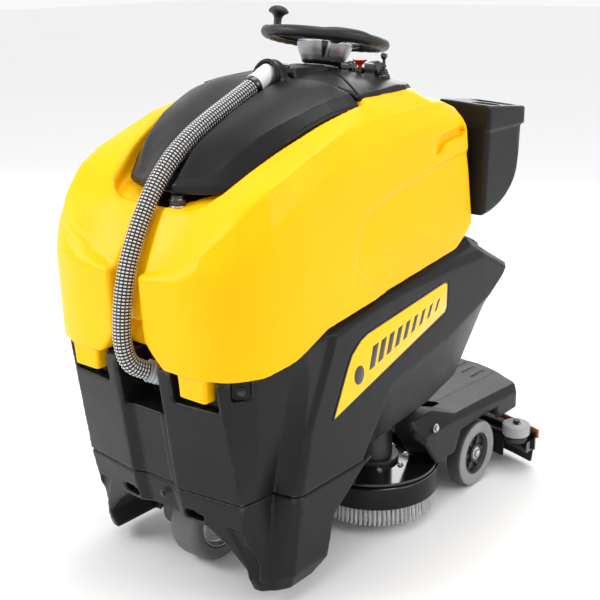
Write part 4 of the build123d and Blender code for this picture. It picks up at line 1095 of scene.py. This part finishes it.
def make_steering():
    wheel = Parts()
    segments, around = 120, 20
    vertices, faces = [], []
    for a in turns(segments):
        # Thicker where a spoke joins, with finger waves underneath.
        spoke = max(math.cos(a - math.radians(s)) for s in (90, 210, 330))
        swell = smooth_step((spoke - 0.9) / 0.1)
        wave = 0.6 * math.sin(a * 30)
        for b in turns(around):
            wide = 15.5 + 1.5 * swell
            tall = 14.5 + 2.0 * swell + (wave if math.sin(b) < -0.3 else 0)
            lift = 3 * swell
            vertices.append(on_wheel(151.5 + wide * math.cos(b), a, tall * math.sin(b) + lift))
    for i in range(segments):
        j = (i + 1) % segments
        for k in range(around):
            m = (k + 1) % around
            faces.append([i * around + k, j * around + k, j * around + m, i * around + m])
    wheel.add(vertices, faces)
    for angle in (90, 210, 330):
        a = math.radians(angle)
        across = on_wheel(1, a + math.pi / 2) - CENTRE
        rings = []
        for t in np.linspace(0, 1, 9):
            r = 34 + 112 * t
            wide = 19 - 8 * math.sin(math.pi * min(1, t * 1.1)) + 3 * t
            tall = 7.5 + 2 * (1 - t)
            height = -4 * math.sin(math.pi * t) - 3 + 7 * t * t
            rings.append([on_wheel(r, a, height + tall * math.sin(b)) + across * wide * math.cos(b)
                          for b in np.linspace(0, 2 * math.pi, 20, endpoint=False)])
        flat = [p for ring in rings for p in ring]
        quads = [[r * 20 + k, r * 20 + (k + 1) % 20, (r + 1) * 20 + (k + 1) % 20, (r + 1) * 20 + k]
                 for r in range(8) for k in range(20)]
        wheel.add(flat, [q[::-1] for q in quads])
    wheel.lathe(rounded([(0, -11), (44, -11), (54, -7), (56, -2), (50, 3), (36, 5), (0, 6)], 4, 4),
                CENTRE, UP, 72)
    wheel.lathe(rounded([(0, 6.4), (28, 6.2), (30, 5), (28, 4)], 1, 2), CENTRE, UP, 64)
    wheel.place("steering_wheel", "steering_wheel", RUBBER, "rubber_black", sharp=50)
    hub = Parts()
    foot = CENTRE - UP * 66
    hub.lathe(rounded([(0, -6), (40, -6), (42, -4), (42, 4), (0, 4)], 1.5, 3), foot, UP, 64,
              index=1)
    hub.lathe(rounded([(28, 1), (44, 0), (52, 4), (56, 9), (62, 20), (68, 36), (72.5, 52), (71, 57),
                       (0, 57)], 4, 5), foot, UP, 96, index=0)
    hub.lathe(rounded([(28, -1), (47, -1.5), (55, 3), (57.5, 9), (56, 10.5), (52, 8)], 2, 4), foot,
              UP, 96, index=3)
    for middle in (-48, 72, 192):
        # A slot in the bowl with a bright tongue in it.
        for offset, radius, index in ((-5, 7.5, 3), (5, 5.0, 2)):
            a = math.radians(middle + offset)
            out = LEFT * math.cos(a) + BACK * math.sin(a)
            path = []
            for t in np.linspace(0, 1, 9):
                h = 16 + 40 * t
                r = np.interp(h, [9, 20, 36, 52], [56, 62, 68, 72.5]) - (2.4 if index == 3 else -0.8)
                path.append(foot + UP * h + out * r)
            sizes = [radius * (0.25 + 0.75 * math.sin(math.pi * (0.08 + 0.5 * t))) for t in
                     np.linspace(0, 1, 9)]
            hub.tube(path, sizes, 14, index=index)
    hub.place("steering_hub", "steering_wheel", [CAST, CUFF, STEEL, GLOSS], "hub_grey", sharp=50)
    knob = Parts()
    angle = math.radians(188)
    knob.lathe(rounded([(0, 0), (12, 0), (11, 9), (10, 22), (11, 34), (17, 42), (26, 46),
                        (27, 49), (26, 53), (20, 60), (10, 64), (0, 65)], 4, 4),
               on_wheel(152, angle, 14.5), UP, 64)
    knob.place("spinner_knob", "spinner_knob", RUBBER, "rubber_black", sharp=60)


def make_fittings():
    """What stands on the console: two switch boxes, the emergency stop and the drive lever."""
    y = 60
    box = Parts()
    for x0, x1, top in ((76, 100, 1222), (149, 180, 1226)):
        box.box((x0, y - 18, 1190), (x1, y + 18, top), 3)
        # Rocker in the top of each box.
        box.box((x0 + 5, y - 11, top - 2), (x1 - 5, y + 11, top + 2.5), 1.5, 1, (8, "X"),
                ((x0 + x1) / 2, y, top))
    box.lathe(rounded([(6.5, 1194), (17, 1194), (17, 1210), (14, 1212), (6.5, 1212)], 1.2, 3),
              (122, y, 0), Z_AXIS, 40)
    for k in range(4):
        a = math.radians(45 + 90 * k)
        x0, y0 = 122 + 11 * math.cos(a), y + 11 * math.sin(a)
        box.tube([(x0, y0, 1208), (x0, y0, 1213.5)], 1.6, 10, 2)
    # Ribbed boot of the lever.
    boot = [(7, 1186), (16, 1188), (16, 1196)]
    for k in range(3):
        z = 1198 + k * 5
        boot += [(13.5 - k * 1.9, z), (14.2 - k * 1.9, z + 2.4), (11.6 - k * 1.9, z + 3.6)]
    box.lathe(rounded(boot, 0.8, 2), (196, y, 0), Z_AXIS, 32)
    box.place("switch_housings", "recovery_tank", [GLOSS, RUBBER, STEEL], "rubber_black")
    stop = Parts()
    stop.lathe(rounded([(0, 1211), (5.4, 1211), (5.4, 1217.5), (9.5, 1220), (13, 1225), (18.5, 1229),
                        (19, 1231), (17, 1232), (0, 1232.5)], 1.2, 4), (122, y, 0), Z_AXIS, 48)
    stop.place("estop_button", "estop", RED, "red")
    lever = Parts()
    lever.lathe(rounded([(0, 1206), (4, 1206), (4, 1215), (6.5, 1216), (6, 1220), (4, 1223),
                         (3.6, 1234), (5, 1236), (8.2, 1240), (8.8, 1244), (7.5, 1249), (0, 1252)],
                        2.5, 4), (196, y, 0), Z_AXIS, 36)
    lever.place("drive_lever", "lever", GLOSS, "rubber_black")


# ------------------------------------------------------------------ small hardware
def make_hardware():
    bolts = Parts()
    for side in SIDES.values():
        inward = np.array((-side * 0.62, 0.78, 0))
        bolts.hexagon(np.array((side * 287, -598, 570)) + inward * 32, -inward, 7, 6, 1)
        bolts.hexagon((side * 344, 108, 262), (side, 0, 0), 8.5, 6, 0)
        hub_end = REAR_WHEEL * (side, 1, 1) + (side * 42.5, 0, 0)
        bolts.lathe(rounded([(0, 0), (19, 0), (19, 2.5), (0, 2.5)], 0.8, 2), hub_end, (side, 0, 0), 40)
        bolts.hexagon(hub_end + (side * 2.1, 0, 0), (side, 0, 0), 12.5, 7, 0, False)
    bolts.hexagon((12, -585.5, 246), (0, -1, 0), 7.5, 4.5, 1)
    bolts.place("frame_bolts", "root", [STEEL, STEEL_BLACK], "steel_bright")
    caps = Parts()
    for side in SIDES.values():
        for a in turns(8):
            x, y = BRUSH * (side, 1) + (88 * math.cos(a), 88 * math.sin(a))
            caps.hexagon((x, y, 152), Z_AXIS, 6.5, 5.5)
    caps.place("deck_bolts", "deck", STEEL, "steel_bright")
    cap = Parts()
    axis = (0, 0.485, 0.875)
    cap.lathe(rounded([(0, 0), (66, 0), (68, 3), (68, 19), (64, 23), (46, 24), (42, 20), (0, 20)],
                      2, 3), (205, 402, 690.4), axis, 144,
              radial=lambda a, k: 1 - 0.022 * (math.cos(24 * a) > 0.2))
    u, v, w = axes_of(axis)
    cap.prism([(-44, -7), (44, -7), (44, 7), (-44, 7)], np.array((205, 402, 690.4)) + w * 19, u, v,
              9, 2.5)
    cap.place("fill_cap", "fill_cap", GLOSS, "black_cover")
    for name, side in SIDES.items():
        roller = Parts()
        profile = rounded([(6.3, 116), (10, 114), (37, 114), (41, 118), (41, 146), (37, 150),
                           (14, 150), (12, 147), (6.3, 147), (6.3, 116)], 2.5, 4)
        roller.lathe(profile, (side * 381, 499, 0), Z_AXIS, 72)
        roller.place(f"side_roller_{name}", f"roller_{name}", ROLLER, "roller")
    # Strainer cap that shows under the front of the lid, with two bright bands.
    strainer = Parts()
    foot = (56, -534, 936)
    strainer.lathe(rounded([(0, 0), (17, 0), (17, 22), (19, 24), (19, 32), (15, 35), (15, 40), (0, 41)],
                           1.2, 3), foot, Z_AXIS, 40)
    for h in (3, 13):
        strainer.lathe(rounded([(17.2, h), (18.6, h + 1), (18.6, h + 5), (17.2, h + 6)], 0.6, 2),
                       foot, Z_AXIS, 40, index=1)
    strainer.place("strainer_cap", "recovery_tank", [GLOSS, STEEL], "black_cover",
                   name="strainer_cap", replaced=False)


def make_blades():
    """Two curved blades: the rear one is tan along its top and dark below, the dark being painted shade on
    its tan rubber; the front one dark.
    """
    centre = 622 - 1190.0
    parts = Parts()

    def strip(outer, thick, rows, index):
        """rows: (height, half width) from the bottom up, on an arc about the middle of the machine."""
        columns = 64
        for face, radius in enumerate((outer, outer - thick)):
            grid = []
            for z, half_width in rows:
                reach = math.asin(half_width / 1190)
                grid.append([(radius * math.sin(a), centre + radius * math.cos(a), z)
                             for a in np.linspace(-reach, reach, columns + 1)])
            flat = [p for row in grid for p in row]
            wide = columns + 1
            quads = [[r * wide + c, r * wide + c + 1, (r + 1) * wide + c + 1, (r + 1) * wide + c]
                     for r in range(len(rows) - 1) for c in range(columns)]
            parts.add(flat, [q[::-1] for q in quads] if face == 0 else quads, index)
            if face == 0:
                outer_rim = rim_of(grid)
            else:
                inner_rim = rim_of(grid)
        count = len(outer_rim)
        parts.add(outer_rim + inner_rim, [[k, (k + 1) % count, count + (k + 1) % count, count + k]
                                          for k in range(count)], index)

    def rim_of(grid):
        return (grid[0] + [row[-1] for row in grid[1:-1]] + grid[-1][::-1]
                + [row[0] for row in grid[-2:0:-1]])

    strip(1190, 4.8, [(100, 432), (102, 436), (126, 436), (128, 434)], 0)
    # Painted shade: the rear blade's tan rubber below its top strip is given dark rubber where it lies in
    # shadow.
    strip(1189.6, 4.2, [(14, 408), (16, 412), (60, 418), (100, 424)], 1)
    strip(1143.8, 4.8, [(17, 338), (19, 340), (80, 342), (84, 340)], 1)
    parts.place("squeegee_blades", "squeegee", [GUM, RUBBER], "blade")


# ------------------------------------------------------------------ CAD nodes that stay
KEPT = {
    "chassis_frame": STEEL_BLACK, "batteries": BATTERY, "vacuum_motor": MOTOR,
    "pump_and_filter": GLOSS, "control_unit": CAST, "steering_bearing": STEEL,
    "deck_actuator": MOTOR, "squeegee_mount": STEEL_BLACK, "tank_hinge": STEEL,
    "presence_pedal": RUBBER, "drive_bracket": STEEL_BLACK, "drive_motor": MOTOR,
    "brush_deck": GLOSS, "brush_motor_left": MOTOR, "brush_motor_right": MOTOR,
    "actuator_rod": STEEL, "squeegee_holder": GLOSS,
    "squeegee_fasteners": STEEL_BLACK, "squeegee_nozzle": GLOSS, "squeegee_arm": STEEL_BLACK,
    "roller_brackets": STEEL_BLACK, "control_panel": COVER, "hinge_leaves": STEEL,
    "float_filter": GREY_PLASTIC, "key_switch": STEEL, "panel_button_left": RED,
    "panel_button_right": GREY_PLASTIC,
}


def finish_nodes():
    """Gives each CAD node that stays its material and softened edges."""
    for name, material in KEPT.items():
        kept = nodes[name]
        kept.data.materials.clear()
        kept.data.materials.append(material)
        weld = kept.modifiers.new("weld", "WELD")
        weld.merge_threshold = 0.00002
        bevel = kept.modifiers.new("bevel", "BEVEL")
        bevel.width = 0.0012
        bevel.segments = 2
        bevel.limit_method = "ANGLE"
        bevel.angle_limit = math.radians(50)
        bevel.use_clamp_overlap = True
        bevel.harden_normals = True


# ------------------------------------------------------------------ stage, lights, camera
def make_stage():
    floor_material = surface("studio_floor", (0.93, 0.93, 0.93), (0.92, 0.92, 0.92), rough=0.8, shine=0.2,
                             grain=60, bump=0.01, spread=0.5)
    mesh = bpy.data.meshes.new("studio_floor")
    size = 30
    mesh.from_pydata([(-size, -size, 0), (size, -size, 0), (size, size, 0), (-size, size, 0)], [],
                     [[0, 1, 2, 3]])
    mesh.materials.append(floor_material)
    floor = bpy.data.objects.new("studio_floor", mesh)
    bpy.context.scene.collection.objects.link(floor)
    world = bpy.data.worlds.new("studio")
    bpy.context.scene.world = world
    world.use_nodes = True
    sky = world.node_tree.nodes["Background"]
    sky.inputs["Color"].default_value = (1, 1, 1, 1)
    sky.inputs["Strength"].default_value = 0.95

    def softbox(name, place_at, target, size_m, power):
        light = bpy.data.lights.new(name, "AREA")
        light.shape = "RECTANGLE"
        light.size, light.size_y = size_m
        light.energy = power
        holder = bpy.data.objects.new(name, light)
        holder.location = place_at
        holder.rotation_euler = (Vector(target) - Vector(place_at)).to_track_quat("-Z", "Y").to_euler()
        bpy.context.scene.collection.objects.link(holder)

    softbox("key", (-2.6, -3.2, 3.2), (0, -0.2, 0.7), (2.2, 1.6), 95)
    softbox("side", (3.4, 0.6, 2.6), (0, 0, 0.6), (1.6, 1.6), 34)
    softbox("top", (0.2, 0.4, 4.2), (0, 0, 0.9), (2.0, 2.0), 46)
    softbox("back", (-1.5, 3.4, 2.4), (0, 0.3, 0.8), (2.0, 1.5), 34)
    bpy.context.scene.view_settings.view_transform = "Standard"


# Place in metres, then degrees round from the front, down and in roll, and focal length in mm.
CAMERA_AT = (1.76936, -2.18206, 1.47139)
CAMERA_ROUND, CAMERA_DOWN, CAMERA_ROLL = 39.60, 17.47, -0.80
FOCAL_LENGTH = 64.69


def make_camera():
    a, e, r = (math.radians(v) for v in (CAMERA_ROUND, CAMERA_DOWN, CAMERA_ROLL))
    right = Vector((math.cos(a), math.sin(a), 0))
    level = Vector((-math.sin(a), math.cos(a), 0))
    forward = level * math.cos(e) - Vector(Z_AXIS) * math.sin(e)
    up = level * math.sin(e) + Vector(Z_AXIS) * math.cos(e)
    right, up = (right * math.cos(r) + up * math.sin(r), up * math.cos(r) - right * math.sin(r))
    data = bpy.data.cameras.new("camera")
    data.sensor_width = 36
    data.lens = FOCAL_LENGTH
    data.clip_end = 100
    camera = bpy.data.objects.new("camera", data)
    turned = Matrix((right, up, -forward)).transposed().to_4x4()
    camera.matrix_world = Matrix.Translation(CAMERA_AT) @ turned
    bpy.context.scene.collection.objects.link(camera)
    bpy.context.scene.camera = camera


make_recovery_tank()
make_solution_tank()
make_front_skirt()
make_lid()
make_console()
make_storage_boxes()
make_platform()
make_labels()
make_rear_wheels()
make_drive_wheel()
make_brushes()
make_hose()
make_steering()
make_fittings()
make_hardware()
make_blades()
finish_nodes()
make_stage()
make_camera()
